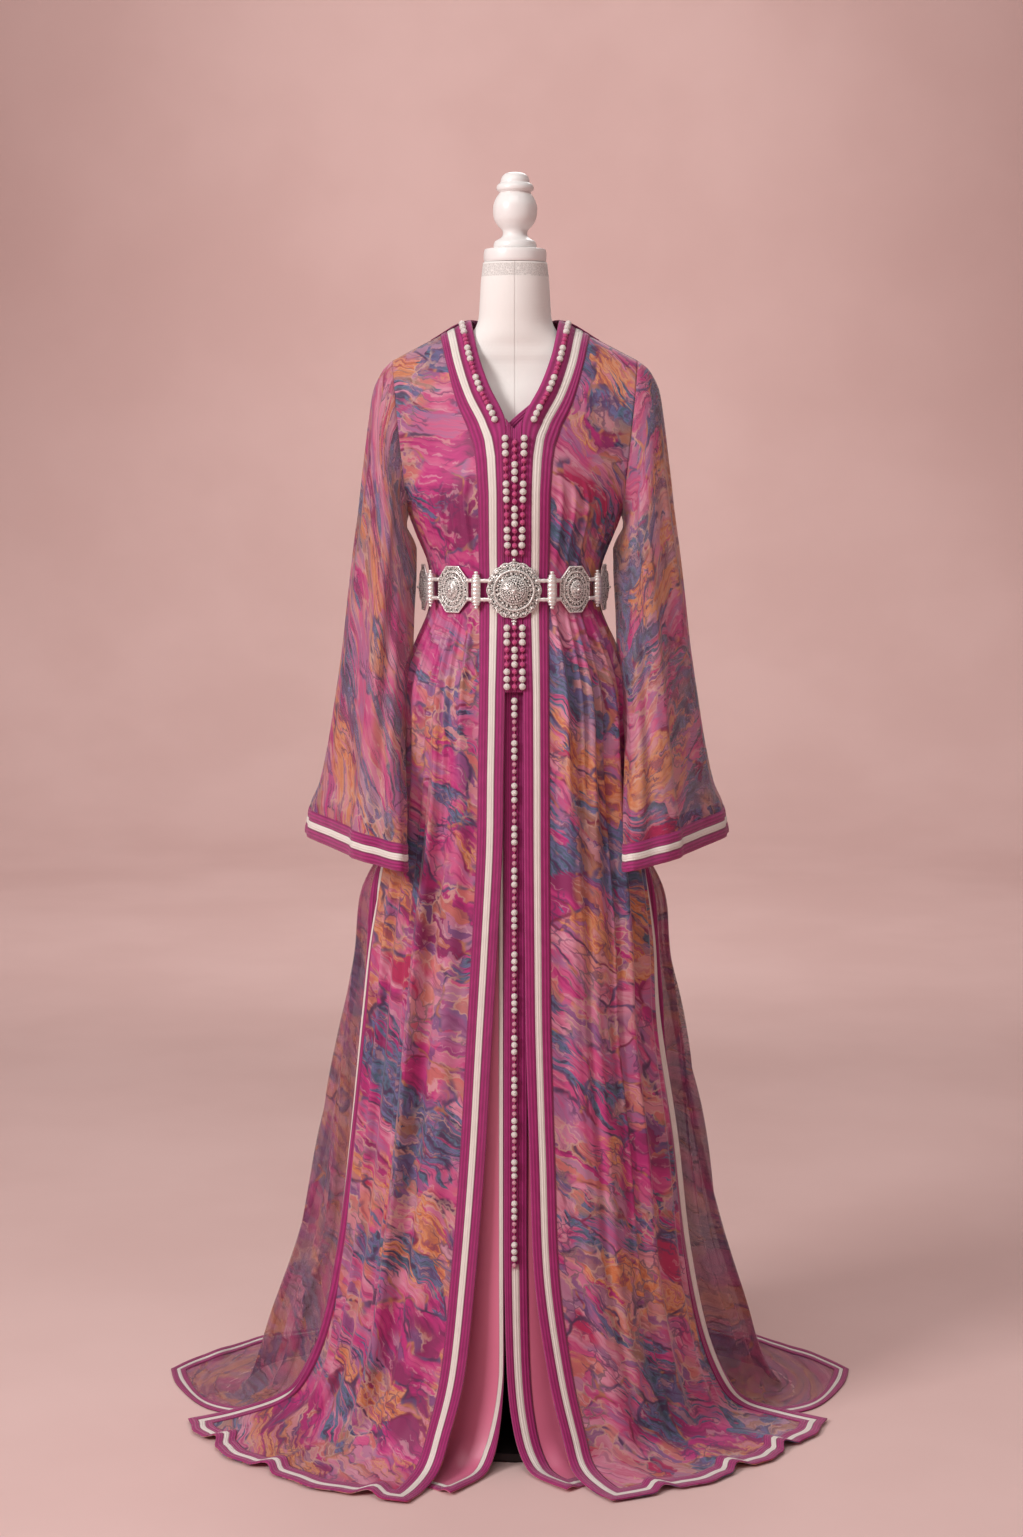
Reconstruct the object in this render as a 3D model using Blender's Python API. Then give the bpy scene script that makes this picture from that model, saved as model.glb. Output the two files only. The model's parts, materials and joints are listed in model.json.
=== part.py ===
"""Moroccan kaftan on a limbless dress form.

A sheer outer kaftan, open below the hip and slit at both sides, hangs over a plain sleeveless
inner dress. Braid bands edge the fronts, hems, slits and cuffs, strings of knot buttons run
down the front, and a belt of silver plaques closes the waist. Metres, +Z up, front faces -Y,
origin at the centre of the stand's base on the floor.
"""
import math

import bmesh
import bpy
import numpy as np

for thing in list(bpy.data.objects):
    bpy.data.objects.remove(thing, do_unlink=True)

# Cloth and braid
WALL = 0.0012
BRAID = 0.0012
GAP = 0.0003
SLEEVE_GAP = 0.0009
BRAID_WIDTH = 0.036
INNER_BRAID_WIDTH = 0.034

# Belt, as an ellipse seen from above
BELT_HALF_WIDTH = 0.1275
BELT_HALF_DEPTH = 0.1089
BELT_HEIGHT = 1.2345
BELT_SHIFT = -0.0015
PLATE = 0.0022
PLAQUE = (0.052, 0.0650)
MEDALLION = (0.077, 0.0800)
FIRST_PLAQUE = 0.0905
PLAQUES_EACH_SIDE = 4
SPINDLE_HEIGHT = 0.051

# Stand
POLE_RADIUS = 0.0125
BASE_RADIUS = 0.150

# The right sleeve swings a little wider than the left
SLEEVE_RIGHT_SHARE = 1.018

# Front panel, left. Columns: edge x y z, side x y z, bow of the section
FRONT_LEFT = (
    (-0.0620, -0.0006, 1.6080, -0.1720, -0.0006, 1.5520, 0.00),
    (-0.0580, -0.0220, 1.5900, -0.1710, -0.0262, 1.5418, 0.10),
    (-0.0500, -0.0500, 1.5560, -0.1665, -0.0537, 1.4978, 0.20),
    (-0.0360, -0.0760, 1.5160, -0.1600, -0.0618, 1.4340, 0.35),
    (-0.0139, -0.0990, 1.4690, -0.1539, -0.0475, 1.3738, 0.60),
    (-0.0139, -0.1110, 1.4250, -0.1515, -0.0310, 1.3495, 0.90),
    (-0.0139, -0.1160, 1.3700, -0.1500, -0.0006, 1.3350, 1.00),
    (-0.0139, -0.1065, 1.2800, -0.1250, -0.0006, 1.2760, 1.00),
    (-0.0139, -0.1035, 1.2370, -0.1210, -0.0006, 1.2370, 1.00),
    (-0.0139, -0.1065, 1.1920, -0.1250, -0.0006, 1.1960, 1.00),
    (-0.0139, -0.1280, 1.0950, -0.1620, -0.0006, 1.0950, 1.00),
    (-0.0158, -0.1380, 0.9800, -0.1660, -0.0006, 0.9800, 1.00),
    (-0.0175, -0.1430, 0.8740, -0.1780, -0.0006, 0.8740, 1.00),
    (-0.0245, -0.1470, 0.7400, -0.2020, -0.0010, 0.7400, 0.95),
    (-0.0321, -0.1500, 0.6110, -0.2150, 0.0040, 0.6110, 0.90),
    (-0.0420, -0.1560, 0.4400, -0.2335, 0.0130, 0.4400, 0.85),
    (-0.0555, -0.1670, 0.2740, -0.2560, 0.0270, 0.2740, 0.75),
    (-0.0710, -0.1820, 0.1370, -0.2860, 0.0450, 0.1400, 0.60),
    (-0.0923, -0.2030, 0.0560, -0.3220, 0.0620, 0.0550, 0.45),
    (-0.1060, -0.2250, 0.0180, -0.3560, 0.0830, 0.0170, 0.50),
    (-0.1260, -0.2640, 0.0052, -0.4220, 0.0500, 0.0052, 0.58),
    (-0.1470, -0.3030, 0.0052, -0.4830, 0.0120, 0.0052, 0.62),
)

# Front panel, right, in the same columns
FRONT_RIGHT = (
    (0.0620, -0.0006, 1.6080, 0.1720, -0.0006, 1.5520, 0.00),
    (0.0580, -0.0220, 1.5900, 0.1710, -0.0262, 1.5418, 0.10),
    (0.0500, -0.0500, 1.5560, 0.1665, -0.0537, 1.4978, 0.20),
    (0.0350, -0.0760, 1.5160, 0.1600, -0.0618, 1.4340, 0.35),
    (0.0114, -0.0990, 1.4690, 0.1539, -0.0475, 1.3738, 0.60),
    (0.0114, -0.1110, 1.4250, 0.1515, -0.0310, 1.3495, 0.90),
    (0.0114, -0.1160, 1.3700, 0.1500, -0.0006, 1.3350, 1.00),
    (0.0114, -0.1065, 1.2800, 0.1250, -0.0006, 1.2760, 1.00),
    (0.0114, -0.1035, 1.2370, 0.1210, -0.0006, 1.2370, 1.00),
    (0.0114, -0.1065, 1.1920, 0.1250, -0.0006, 1.1960, 1.00),
    (0.0114, -0.1280, 1.0950, 0.1620, -0.0006, 1.0950, 1.00),
    (0.0120, -0.1380, 0.9800, 0.1660, -0.0006, 0.9800, 1.00),
    (0.0123, -0.1430, 0.8740, 0.1780, -0.0006, 0.8740, 1.00),
    (0.0135, -0.1470, 0.7400, 0.1980, -0.0010, 0.7400, 0.95),
    (0.0152, -0.1500, 0.6110, 0.2065, 0.0020, 0.6110, 0.90),
    (0.0205, -0.1560, 0.4400, 0.2330, 0.0120, 0.4400, 0.85),
    (0.0271, -0.1670, 0.2740, 0.2540, 0.0240, 0.2740, 0.75),
    (0.0470, -0.1820, 0.1370, 0.2820, 0.0460, 0.1400, 0.60),
    (0.0670, -0.2030, 0.0560, 0.3160, 0.0570, 0.0550, 0.45),
    (0.0800, -0.2250, 0.0180, 0.3480, 0.0680, 0.0170, 0.45),
    (0.1060, -0.2630, 0.0052, 0.4050, 0.0500, 0.0052, 0.48),
    (0.1320, -0.2990, 0.0052, 0.4620, 0.0120, 0.0052, 0.50),
)

# Back panel, left half. Columns: side x y z, flank x y z, shoulder-blade x y z, centre y z
BACK = (
    (-0.1720, 0.0006, 1.5520, -0.1200, 0.0012, 1.5790, -0.0640, 0.0020, 1.6075, 0.0760, 1.5930),
    (-0.1710, 0.0262, 1.5418, -0.1220, 0.0350, 1.5640, -0.0680, 0.0480, 1.5860, 0.0880, 1.5700),
    (-0.1665, 0.0537, 1.4978, -0.1280, 0.0720, 1.5140, -0.0720, 0.0860, 1.5340, 0.0960, 1.5300),
    (-0.1600, 0.0618, 1.4340, -0.1300, 0.0860, 1.4420, -0.0760, 0.1000, 1.4560, 0.1060, 1.4600),
    (-0.1539, 0.0475, 1.3738, -0.1310, 0.0800, 1.3820, -0.0790, 0.1010, 1.3940, 0.1080, 1.4000),
    (-0.1515, 0.0310, 1.3495, -0.1335, 0.0650, 1.3480, -0.0820, 0.0960, 1.3560, 0.1060, 1.3600),
    (-0.1500, 0.0006, 1.3350, -0.1300, 0.0570, 1.3330, -0.0720, 0.0930, 1.3300, 0.1040, 1.3280),
    (-0.1250, 0.0006, 1.2760, -0.1035, 0.0605, 1.2760, -0.0535, 0.0960, 1.2760, 0.1060, 1.2760),
    (-0.1210, 0.0006, 1.2370, -0.0990, 0.0595, 1.2370, -0.0510, 0.0940, 1.2370, 0.1035, 1.2370),
    (-0.1250, 0.0006, 1.1960, -0.1035, 0.0605, 1.1960, -0.0535, 0.0960, 1.1960, 0.1060, 1.1960),
    (-0.1620, 0.0006, 1.0950, -0.1340, 0.0735, 1.0950, -0.0690, 0.1160, 1.0950, 0.1280, 1.0950),
    (-0.1660, 0.0006, 0.9800, -0.1430, 0.0800, 0.9800, -0.0750, 0.1290, 0.9800, 0.1400, 0.9800),
    (-0.1780, 0.0006, 0.8740, -0.1760, 0.0700, 0.8740, -0.0980, 0.1330, 0.8740, 0.1520, 0.8740),
    (-0.1820, 0.0060, 0.7900, -0.2230, 0.0620, 0.7900, -0.1300, 0.1450, 0.7900, 0.1640, 0.7900),
    (-0.1860, 0.0080, 0.7000, -0.2320, 0.0650, 0.7000, -0.1440, 0.1540, 0.7000, 0.1740, 0.7000),
    (-0.1890, 0.0110, 0.6110, -0.2470, 0.0680, 0.6110, -0.1540, 0.1620, 0.6110, 0.1830, 0.6110),
    (-0.1950, 0.0140, 0.4400, -0.2775, 0.0780, 0.4400, -0.1750, 0.1820, 0.4400, 0.2030, 0.4400),
    (-0.2070, 0.0180, 0.2740, -0.3130, 0.0900, 0.2740, -0.2050, 0.2070, 0.2740, 0.2300, 0.2740),
    (-0.2380, 0.0230, 0.1400, -0.3580, 0.1050, 0.1400, -0.2450, 0.2370, 0.1400, 0.2640, 0.1400),
    (-0.2650, 0.0300, 0.0550, -0.3850, 0.1300, 0.0560, -0.2700, 0.2670, 0.0560, 0.2960, 0.0560),
    (-0.2950, 0.0350, 0.0130, -0.4080, 0.1570, 0.0150, -0.2900, 0.2970, 0.0150, 0.3300, 0.0150),
    (-0.3780, 0.0340, 0.0018, -0.4280, 0.1800, 0.0018, -0.3080, 0.3260, 0.0018, 0.3680, 0.0018),
    (-0.4600, 0.0640, 0.0018, -0.4520, 0.2100, 0.0018, -0.3220, 0.3570, 0.0018, 0.4120, 0.0018),
    (-0.5160, 0.1600, 0.0018, -0.4700, 0.2520, 0.0018, -0.3350, 0.3880, 0.0018, 0.4560, 0.0018),
    (-0.5370, 0.2380, 0.0018, -0.4860, 0.3120, 0.0018, -0.3500, 0.4220, 0.0018, 0.5000, 0.0018),
)
BACK_RIGHT_SHARE = 0.972

# Inner dress front, left, in the front panel's columns
INNER_LEFT = (
    (-0.0740, -0.0006, 1.5972, -0.1480, -0.0006, 1.5577, 0.00),
    (-0.0700, -0.0200, 1.5800, -0.1480, -0.0220, 1.5460, 0.10),
    (-0.0610, -0.0440, 1.5500, -0.1440, -0.0440, 1.5050, 0.20),
    (-0.0460, -0.0680, 1.5080, -0.1400, -0.0520, 1.4380, 0.35),
    (-0.0158, -0.0920, 1.4560, -0.1400, -0.0420, 1.3780, 0.60),
    (-0.0158, -0.1020, 1.4200, -0.1415, -0.0280, 1.3460, 0.90),
    (-0.0158, -0.1090, 1.3700, -0.1430, -0.0006, 1.3250, 1.00),
    (-0.0158, -0.1000, 1.2800, -0.1190, -0.0006, 1.2760, 1.00),
    (-0.0158, -0.0965, 1.2370, -0.1135, -0.0006, 1.2370, 1.00),
    (-0.0158, -0.1000, 1.1920, -0.1190, -0.0006, 1.1960, 1.00),
    (-0.0158, -0.1190, 1.0950, -0.1410, -0.0006, 1.0950, 1.00),
    (-0.0158, -0.1285, 0.9800, -0.1440, -0.0006, 0.9800, 1.00),
    (-0.0158, -0.1330, 0.8740, -0.1560, 0.0050, 0.8740, 1.00),
    (-0.0158, -0.1385, 0.6110, -0.1680, 0.0250, 0.6110, 0.95),
    (-0.0158, -0.1420, 0.4400, -0.1760, 0.0350, 0.4400, 0.90),
    (-0.0158, -0.1490, 0.2740, -0.1880, 0.0450, 0.2740, 0.85),
    (-0.0160, -0.1580, 0.1300, -0.2120, 0.0560, 0.1300, 0.75),
    (-0.0220, -0.1720, 0.0550, -0.2330, 0.0700, 0.0550, 0.70),
    (-0.0330, -0.1900, 0.0150, -0.2550, 0.0800, 0.0150, 0.60),
    (-0.0500, -0.2200, 0.0018, -0.2750, 0.0850, 0.0018, 0.50),
    (-0.0880, -0.2720, 0.0018, -0.3020, 0.0900, 0.0018, 0.35),
)

# Inner dress front, right
INNER_RIGHT = (
    (0.0740, -0.0006, 1.5972, 0.1480, -0.0006, 1.5577, 0.00),
    (0.0700, -0.0200, 1.5800, 0.1480, -0.0220, 1.5460, 0.10),
    (0.0610, -0.0440, 1.5500, 0.1440, -0.0440, 1.5050, 0.20),
    (0.0400, -0.0690, 1.5080, 0.1400, -0.0520, 1.4380, 0.35),
    (-0.0153, -0.0925, 1.4560, 0.1400, -0.0420, 1.3780, 0.60),
    (-0.0153, -0.1020, 1.4200, 0.1415, -0.0280, 1.3460, 0.90),
    (-0.0153, -0.1090, 1.3700, 0.1430, -0.0006, 1.3250, 1.00),
    (-0.0153, -0.1000, 1.2800, 0.1190, -0.0006, 1.2760, 1.00),
    (-0.0153, -0.0965, 1.2370, 0.1135, -0.0006, 1.2370, 1.00),
    (-0.0153, -0.1000, 1.1920, 0.1190, -0.0006, 1.1960, 1.00),
    (-0.0153, -0.1190, 1.0950, 0.1410, -0.0006, 1.0950, 1.00),
    (-0.0153, -0.1285, 0.9800, 0.1440, -0.0006, 0.9800, 1.00),
    (-0.0153, -0.1330, 0.8740, 0.1560, 0.0050, 0.8740, 1.00),
    (-0.0153, -0.1385, 0.6110, 0.1680, 0.0250, 0.6110, 0.95),
    (-0.0153, -0.1420, 0.4400, 0.1760, 0.0350, 0.4400, 0.90),
    (-0.0150, -0.1490, 0.2740, 0.1880, 0.0450, 0.2740, 0.85),
    (-0.0110, -0.1580, 0.1300, 0.2120, 0.0560, 0.1300, 0.75),
    (-0.0020, -0.1710, 0.0550, 0.2330, 0.0700, 0.0550, 0.70),
    (0.0120, -0.1880, 0.0150, 0.2550, 0.0800, 0.0150, 0.60),
    (0.0300, -0.2150, 0.0018, 0.2750, 0.0850, 0.0018, 0.50),
    (0.0700, -0.2600, 0.0018, 0.3020, 0.0900, 0.0018, 0.35),
)

# Inner dress back, left half, in the back panel's columns
INNER_BACK = (
    (-0.1480, 0.0006, 1.5577, -0.1150, 0.0010, 1.5752, -0.0760, 0.0020, 1.5957, 0.0740, 1.5800),
    (-0.1480, 0.0220, 1.5460, -0.1150, 0.0300, 1.5630, -0.0760, 0.0420, 1.5780, 0.0800, 1.5600),
    (-0.1440, 0.0440, 1.5050, -0.1150, 0.0620, 1.5200, -0.0680, 0.0770, 1.5330, 0.0890, 1.5250),
    (-0.1400, 0.0520, 1.4380, -0.1160, 0.0770, 1.4460, -0.0680, 0.0920, 1.4540, 0.0990, 1.4600),
    (-0.1400, 0.0420, 1.3780, -0.1190, 0.0730, 1.3850, -0.0700, 0.0930, 1.3940, 0.1010, 1.4000),
    (-0.1415, 0.0280, 1.3460, -0.1220, 0.0600, 1.3480, -0.0730, 0.0890, 1.3560, 0.0990, 1.3600),
    (-0.1430, 0.0006, 1.3250, -0.1180, 0.0530, 1.3260, -0.0650, 0.0865, 1.3270, 0.0970, 1.3280),
    (-0.1190, 0.0006, 1.2760, -0.0975, 0.0565, 1.2760, -0.0503, 0.0895, 1.2760, 0.0990, 1.2760),
    (-0.1135, 0.0006, 1.2370, -0.0930, 0.0555, 1.2370, -0.0480, 0.0875, 1.2370, 0.0965, 1.2370),
    (-0.1190, 0.0006, 1.1960, -0.0975, 0.0570, 1.1960, -0.0503, 0.0905, 1.1960, 0.1000, 1.1960),
    (-0.1410, 0.0006, 1.0950, -0.1155, 0.0680, 1.0950, -0.0595, 0.1080, 1.0950, 0.1190, 1.0950),
    (-0.1440, 0.0006, 0.9800, -0.1200, 0.0760, 0.9800, -0.0640, 0.1190, 0.9800, 0.1290, 0.9800),
    (-0.1560, 0.0056, 0.8740, -0.1360, 0.0780, 0.8740, -0.0740, 0.1230, 0.8740, 0.1340, 0.8740),
    (-0.1680, 0.0256, 0.6110, -0.1460, 0.1020, 0.6110, -0.0790, 0.1480, 0.6110, 0.1600, 0.6110),
    (-0.1760, 0.0356, 0.4400, -0.1540, 0.1190, 0.4400, -0.0830, 0.1670, 0.4400, 0.1790, 0.4400),
    (-0.1880, 0.0456, 0.2740, -0.1650, 0.1370, 0.2740, -0.0890, 0.1890, 0.2740, 0.2020, 0.2740),
    (-0.2120, 0.0566, 0.1300, -0.1850, 0.1550, 0.1300, -0.1000, 0.2130, 0.1300, 0.2290, 0.1300),
    (-0.2330, 0.0706, 0.0550, -0.2020, 0.1760, 0.0550, -0.1090, 0.2370, 0.0550, 0.2540, 0.0550),
    (-0.2550, 0.0806, 0.0150, -0.2200, 0.1950, 0.0150, -0.1180, 0.2600, 0.0150, 0.2780, 0.0150),
    (-0.2750, 0.0856, 0.0018, -0.2370, 0.2080, 0.0018, -0.1270, 0.2770, 0.0018, 0.2960, 0.0018),
    (-0.3020, 0.0906, 0.0018, -0.2590, 0.2240, 0.0018, -0.1380, 0.3000, 0.0018, 0.3200, 0.0018),
)

# Sleeve rings, left. Columns: outer x y z, inner x y z, half depth
SLEEVE = (
    (-0.1850, 0.0000, 1.5400, -0.1525, 0.0000, 1.3270, 0.0640),
    (-0.1990, 0.0000, 1.5120, -0.1535, 0.0000, 1.3220, 0.0665),
    (-0.2045, 0.0000, 1.4760, -0.1535, 0.0000, 1.3170, 0.0695),
    (-0.2090, 0.0010, 1.4320, -0.1530, -0.0010, 1.3090, 0.0720),
    (-0.2135, 0.0020, 1.3870, -0.1530, -0.0030, 1.2960, 0.0740),
    (-0.2185, 0.0040, 1.3430, -0.1530, -0.0060, 1.2780, 0.0750),
    (-0.2265, 0.0080, 1.2880, -0.1535, -0.0120, 1.2450, 0.0745),
    (-0.2345, 0.0120, 1.2250, -0.1560, -0.0220, 1.1980, 0.0720),
    (-0.2438, 0.0160, 1.1470, -0.1575, -0.0380, 1.1330, 0.0690),
    (-0.2545, 0.0200, 1.0780, -0.1575, -0.0560, 1.0670, 0.0670),
    (-0.2655, 0.0200, 1.0120, -0.1560, -0.0880, 1.0000, 0.0630),
    (-0.2790, 0.0200, 0.9530, -0.1530, -0.1180, 0.9360, 0.0590),
    (-0.2930, 0.0200, 0.9250, -0.1505, -0.1380, 0.8960, 0.0570),
    (-0.3025, 0.0200, 0.8810, -0.1480, -0.1520, 0.8490, 0.0560),
)

# Folds. Columns: place across 0-1, half width 0-1, height, first row, full row, last row
FOLDS_FRONT_LEFT = (
    (0.26, 0.085, 0.0090, 8.9, 11.0, 19.5),
    (0.44, 0.080, 0.0110, 8.9, 11.5, 19.5),
    (0.60, 0.070, 0.0080, 8.9, 11.0, 19.5),
    (0.75, 0.085, 0.0130, 9.0, 12.5, 20.0),
    (0.36, 0.060, 0.0035, 5.4, 6.2, 7.4),
    (0.58, 0.060, 0.0040, 5.4, 6.2, 7.4),
)
FOLDS_FRONT_RIGHT = (
    (0.27, 0.085, 0.0100, 8.9, 11.0, 19.5),
    (0.43, 0.075, 0.0085, 8.9, 11.5, 19.5),
    (0.59, 0.080, 0.0120, 8.9, 11.0, 19.5),
    (0.76, 0.080, 0.0110, 9.0, 12.5, 20.0),
    (0.38, 0.060, 0.0040, 5.4, 6.2, 7.4),
    (0.60, 0.060, 0.0035, 5.4, 6.2, 7.4),
)
FOLDS_BACK = (
    (0.20, 0.045, 0.0120, 9.0, 13.0, 22.0),
    (0.31, 0.045, 0.0150, 8.9, 12.0, 22.0),
    (0.42, 0.040, 0.0120, 8.9, 12.0, 22.0),
    (0.52, 0.045, 0.0160, 8.9, 12.0, 22.0),
    (0.63, 0.045, 0.0120, 8.9, 12.0, 22.0),
    (0.73, 0.045, 0.0150, 8.9, 12.0, 22.0),
    (0.83, 0.040, 0.0110, 9.0, 13.0, 22.0),
)
# Sleeve folds. Columns: turn 0-1, half width, height, first ring, full ring, last ring
FOLDS_SLEEVE = (
    (0.12, 0.060, 0.0060, 1.0, 7.0, 14.0),
    (0.28, 0.055, 0.0080, 2.0, 8.0, 14.0),
    (0.41, 0.045, 0.0050, 4.0, 9.0, 14.0),
    (0.64, 0.060, 0.0070, 2.0, 8.0, 14.0),
    (0.86, 0.060, 0.0060, 1.0, 7.0, 14.0),
)

# Band widths along the front edge. Columns: row, width
BAND_WIDTHS = (
    (0.0, 0.048),
    (1.0, 0.047),
    (2.0, 0.047),
    (3.0, 0.051),
    (4.0, 0.055),
    (5.0, 0.043),
    (6.0, 0.038),
    (7.5, 0.036),
    (21.0, 0.036),
)

# Form sections. Columns: height, half width, front, back, roundness
FORM_SECTIONS = (
    (0.8600, 0.1220, 0.1000, 0.1000, 2.0),
    (0.8800, 0.1290, 0.1070, 0.1080, 2.1),
    (0.9500, 0.1300, 0.1110, 0.1120, 2.1),
    (1.0200, 0.1280, 0.1080, 0.1090, 2.1),
    (1.0950, 0.1240, 0.1020, 0.1030, 2.0),
    (1.1700, 0.1120, 0.0900, 0.0910, 2.0),
    (1.2370, 0.1040, 0.0870, 0.0870, 2.0),
    (1.3000, 0.1120, 0.0910, 0.0850, 2.0),
    (1.3600, 0.1230, 0.0970, 0.0860, 2.0),
    (1.4100, 0.1230, 0.0900, 0.0870, 2.0),
    (1.4600, 0.1190, 0.0740, 0.0830, 2.0),
    (1.5000, 0.1200, 0.0600, 0.0710, 2.0),
    (1.5250, 0.1280, 0.0460, 0.0580, 2.0),
    (1.5450, 0.1330, 0.0400, 0.0520, 2.0),
    (1.5585, 0.1140, 0.0400, 0.0500, 2.0),
    (1.5722, 0.0862, 0.0392, 0.0480, 2.0),
    (1.5860, 0.0650, 0.0412, 0.0470, 2.0),
    (1.6050, 0.0525, 0.0420, 0.0440, 2.0),
    (1.6350, 0.0495, 0.0440, 0.0450, 2.0),
    (1.6600, 0.0480, 0.0440, 0.0450, 2.0),
    (1.6870, 0.0450, 0.0420, 0.0430, 2.0),
)


def material(name, colour, roughness, metallic):
    """A plain Principled material."""
    made = bpy.data.materials.new(name)
    made.use_nodes = True
    shader = made.node_tree.nodes["Principled BSDF"]
    shader.inputs["Base Color"].default_value = (*colour, 1.0)
    shader.inputs["Roughness"].default_value = roughness
    shader.inputs["Metallic"].default_value = metallic
    return made


def closed_body(name, points, faces, look, smooth=True):
    """One object from points and faces, with its faces turned outwards."""
    mesh = bpy.data.meshes.new(name)
    mesh.from_pydata([tuple(p) for p in points], [], faces)
    work = bmesh.new()
    work.from_mesh(mesh)
    bmesh.ops.recalc_face_normals(work, faces=work.faces)
    if work.calc_volume(signed=True) < 0:
        bmesh.ops.reverse_faces(work, faces=work.faces)
    work.to_mesh(mesh)
    work.free()
    for polygon in mesh.polygons:
        polygon.use_smooth = smooth
    thing = bpy.data.objects.new(name, mesh)
    bpy.context.scene.collection.objects.link(thing)
    thing.data.materials.append(look)
    return thing


def between(rows, place):
    """A table's values at a fractional row, along a smooth curve through its rows."""
    last = len(rows) - 1
    place = min(max(place, 0.0), last)
    i = min(int(place), last - 1)
    t = place - i
    a = np.array(rows[max(i - 1, 0)], float)
    b = np.array(rows[i], float)
    c = np.array(rows[i + 1], float)
    d = np.array(rows[min(i + 2, last)], float)
    return 0.5 * (2 * b + (c - a) * t + (2 * a - 5 * b + 4 * c - d) * t**2 + (3 * b - a - 3 * c + d) * t**3)


def fold_height(folds, across, row):
    """How far the folds of a table lift the cloth at one place."""
    lift = 0.0
    for place, half, height, first, full, last in folds:
        if not first < row < last:
            continue
        off = abs(across - place) / half
        if off >= 1:
            continue
        rise = min((row - first) / (full - first), 1.0, (last - row) / 1.5)
        lift += height * rise * (0.5 + 0.5 * math.cos(math.pi * off))
    return lift


def front_section(table, row, count=48):
    """Points along one row of a front panel, from its edge to its side."""
    ex, ey, ez, sx, sy, sz, bow = between(table, row)
    points = []
    for k in range(count + 1):
        u = k / count
        turn = u * math.pi / 2
        arc_x = ex + (sx - ex) * math.sin(turn)
        arc_y = ey + (sy - ey) * (1 - math.cos(turn))
        x = (1 - bow) * (ex + (sx - ex) * u) + bow * arc_x
        y = (1 - bow) * (ey + (sy - ey) * u) + bow * arc_y
        points.append((x, y, ez + (sz - ez) * u))
    return np.array(points)


def back_section(table, row, count=48):
    """Points along one row of a back panel, from the left side round to the right."""
    values = between(table, row)
    share = BACK_RIGHT_SHARE if table is BACK and row > 12 else 1.0
    side, flank, blade = values[0:3], values[3:6], values[6:9]
    centre = np.array((0.0, values[9], values[10]))
    mirror = np.array((-share, 1.0, 1.0))
    knots = [side, flank, blade, centre, blade * mirror, flank * mirror, side * mirror]
    points = np.array([between(knots, 6 * k / count) for k in range(count + 1)])
    if row < 12:
        points[:, 1] = np.maximum(points[:, 1], side[1])
    return points


def at_lengths(points, lengths):
    """Points at given lengths along a row of points, with their shares of the whole."""
    steps = np.linalg.norm(np.diff(points, axis=0), axis=1)
    along = np.concatenate(([0.0], np.cumsum(steps)))
    placed = np.stack([np.interp(lengths, along, points[:, k]) for k in range(3)], axis=1)
    return placed, np.asarray(lengths) / along[-1]


def row_length(points):
    """Length of a row of points."""
    return float(np.linalg.norm(np.diff(points, axis=0), axis=1).sum())


def normals(grid, sign, loop=False):
    """Outward directions at every point of a grid."""
    if loop:
        around = np.roll(grid, -1, axis=1) - np.roll(grid, 1, axis=1)
    else:
        around = np.gradient(grid, axis=1)
    down = np.gradient(grid, axis=0)
    cross = np.cross(around, down) * sign
    return cross / np.maximum(np.linalg.norm(cross, axis=2, keepdims=True), 1e-12)


def wall(name, outer, inner, look, loop=False):
    """A closed wall between two grids of points of the same size."""
    rows, columns = outer.shape[:2]
    points = np.concatenate((outer.reshape(-1, 3), inner.reshape(-1, 3)))
    skin = rows * columns
    faces = []
    across = columns if loop else columns - 1
    for i in range(rows - 1):
        for j in range(across):
            k = (j + 1) % columns
            a, b = i * columns + j, i * columns + k
            c, d = (i + 1) * columns + k, (i + 1) * columns + j
            faces += [(a, b, c), (a, c, d)]
            faces += [(skin + c, skin + b, skin + a), (skin + d, skin + c, skin + a)]
    for j in range(across):
        k = (j + 1) % columns
        foot = (rows - 1) * columns
        faces.append((k, j, skin + j, skin + k))
        faces.append((foot + j, foot + k, skin + foot + k, skin + foot + j))
    if not loop:
        for i in range(rows - 1):
            a, b = i * columns, (i + 1) * columns
            c, d = a + columns - 1, b + columns - 1
            faces.append((a, b, skin + b, skin + a))
            faces.append((d, c, skin + c, skin + d))
    return closed_body(name, points, faces, look)


def panel(name, grid, out, look, loop=False):
    """A cloth panel whose outer face is the grid."""
    return wall(name, grid, grid - out * WALL, look, loop)


def drawn_in(grid, gap, edges):
    """A grid with the named edges moved in by a gap."""
    made = grid.copy()
    moves = {"top": (0, 1, 0), "bottom": (-1, -2, 0), "first": (0, 1, 1), "last": (-1, -2, 1)}
    for edge in edges:
        here, towards, axis = moves[edge]
        a = made[here] if axis == 0 else made[:, here]
        b = made[towards] if axis == 0 else made[:, towards]
        step = b - a
        step = step / np.linalg.norm(step, axis=1, keepdims=True) * gap
        if axis == 0:
            made[here] = a + step
        else:
            made[:, here] = a + step
    return made


def braid(name, grid, out, look, edges=(), loop=False):
    """A braid band lying on part of a panel's grid."""
    drawn = drawn_in(grid, GAP, edges)
    return wall(name, drawn + out * (GAP + BRAID), drawn + out * GAP, look, loop)


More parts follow.
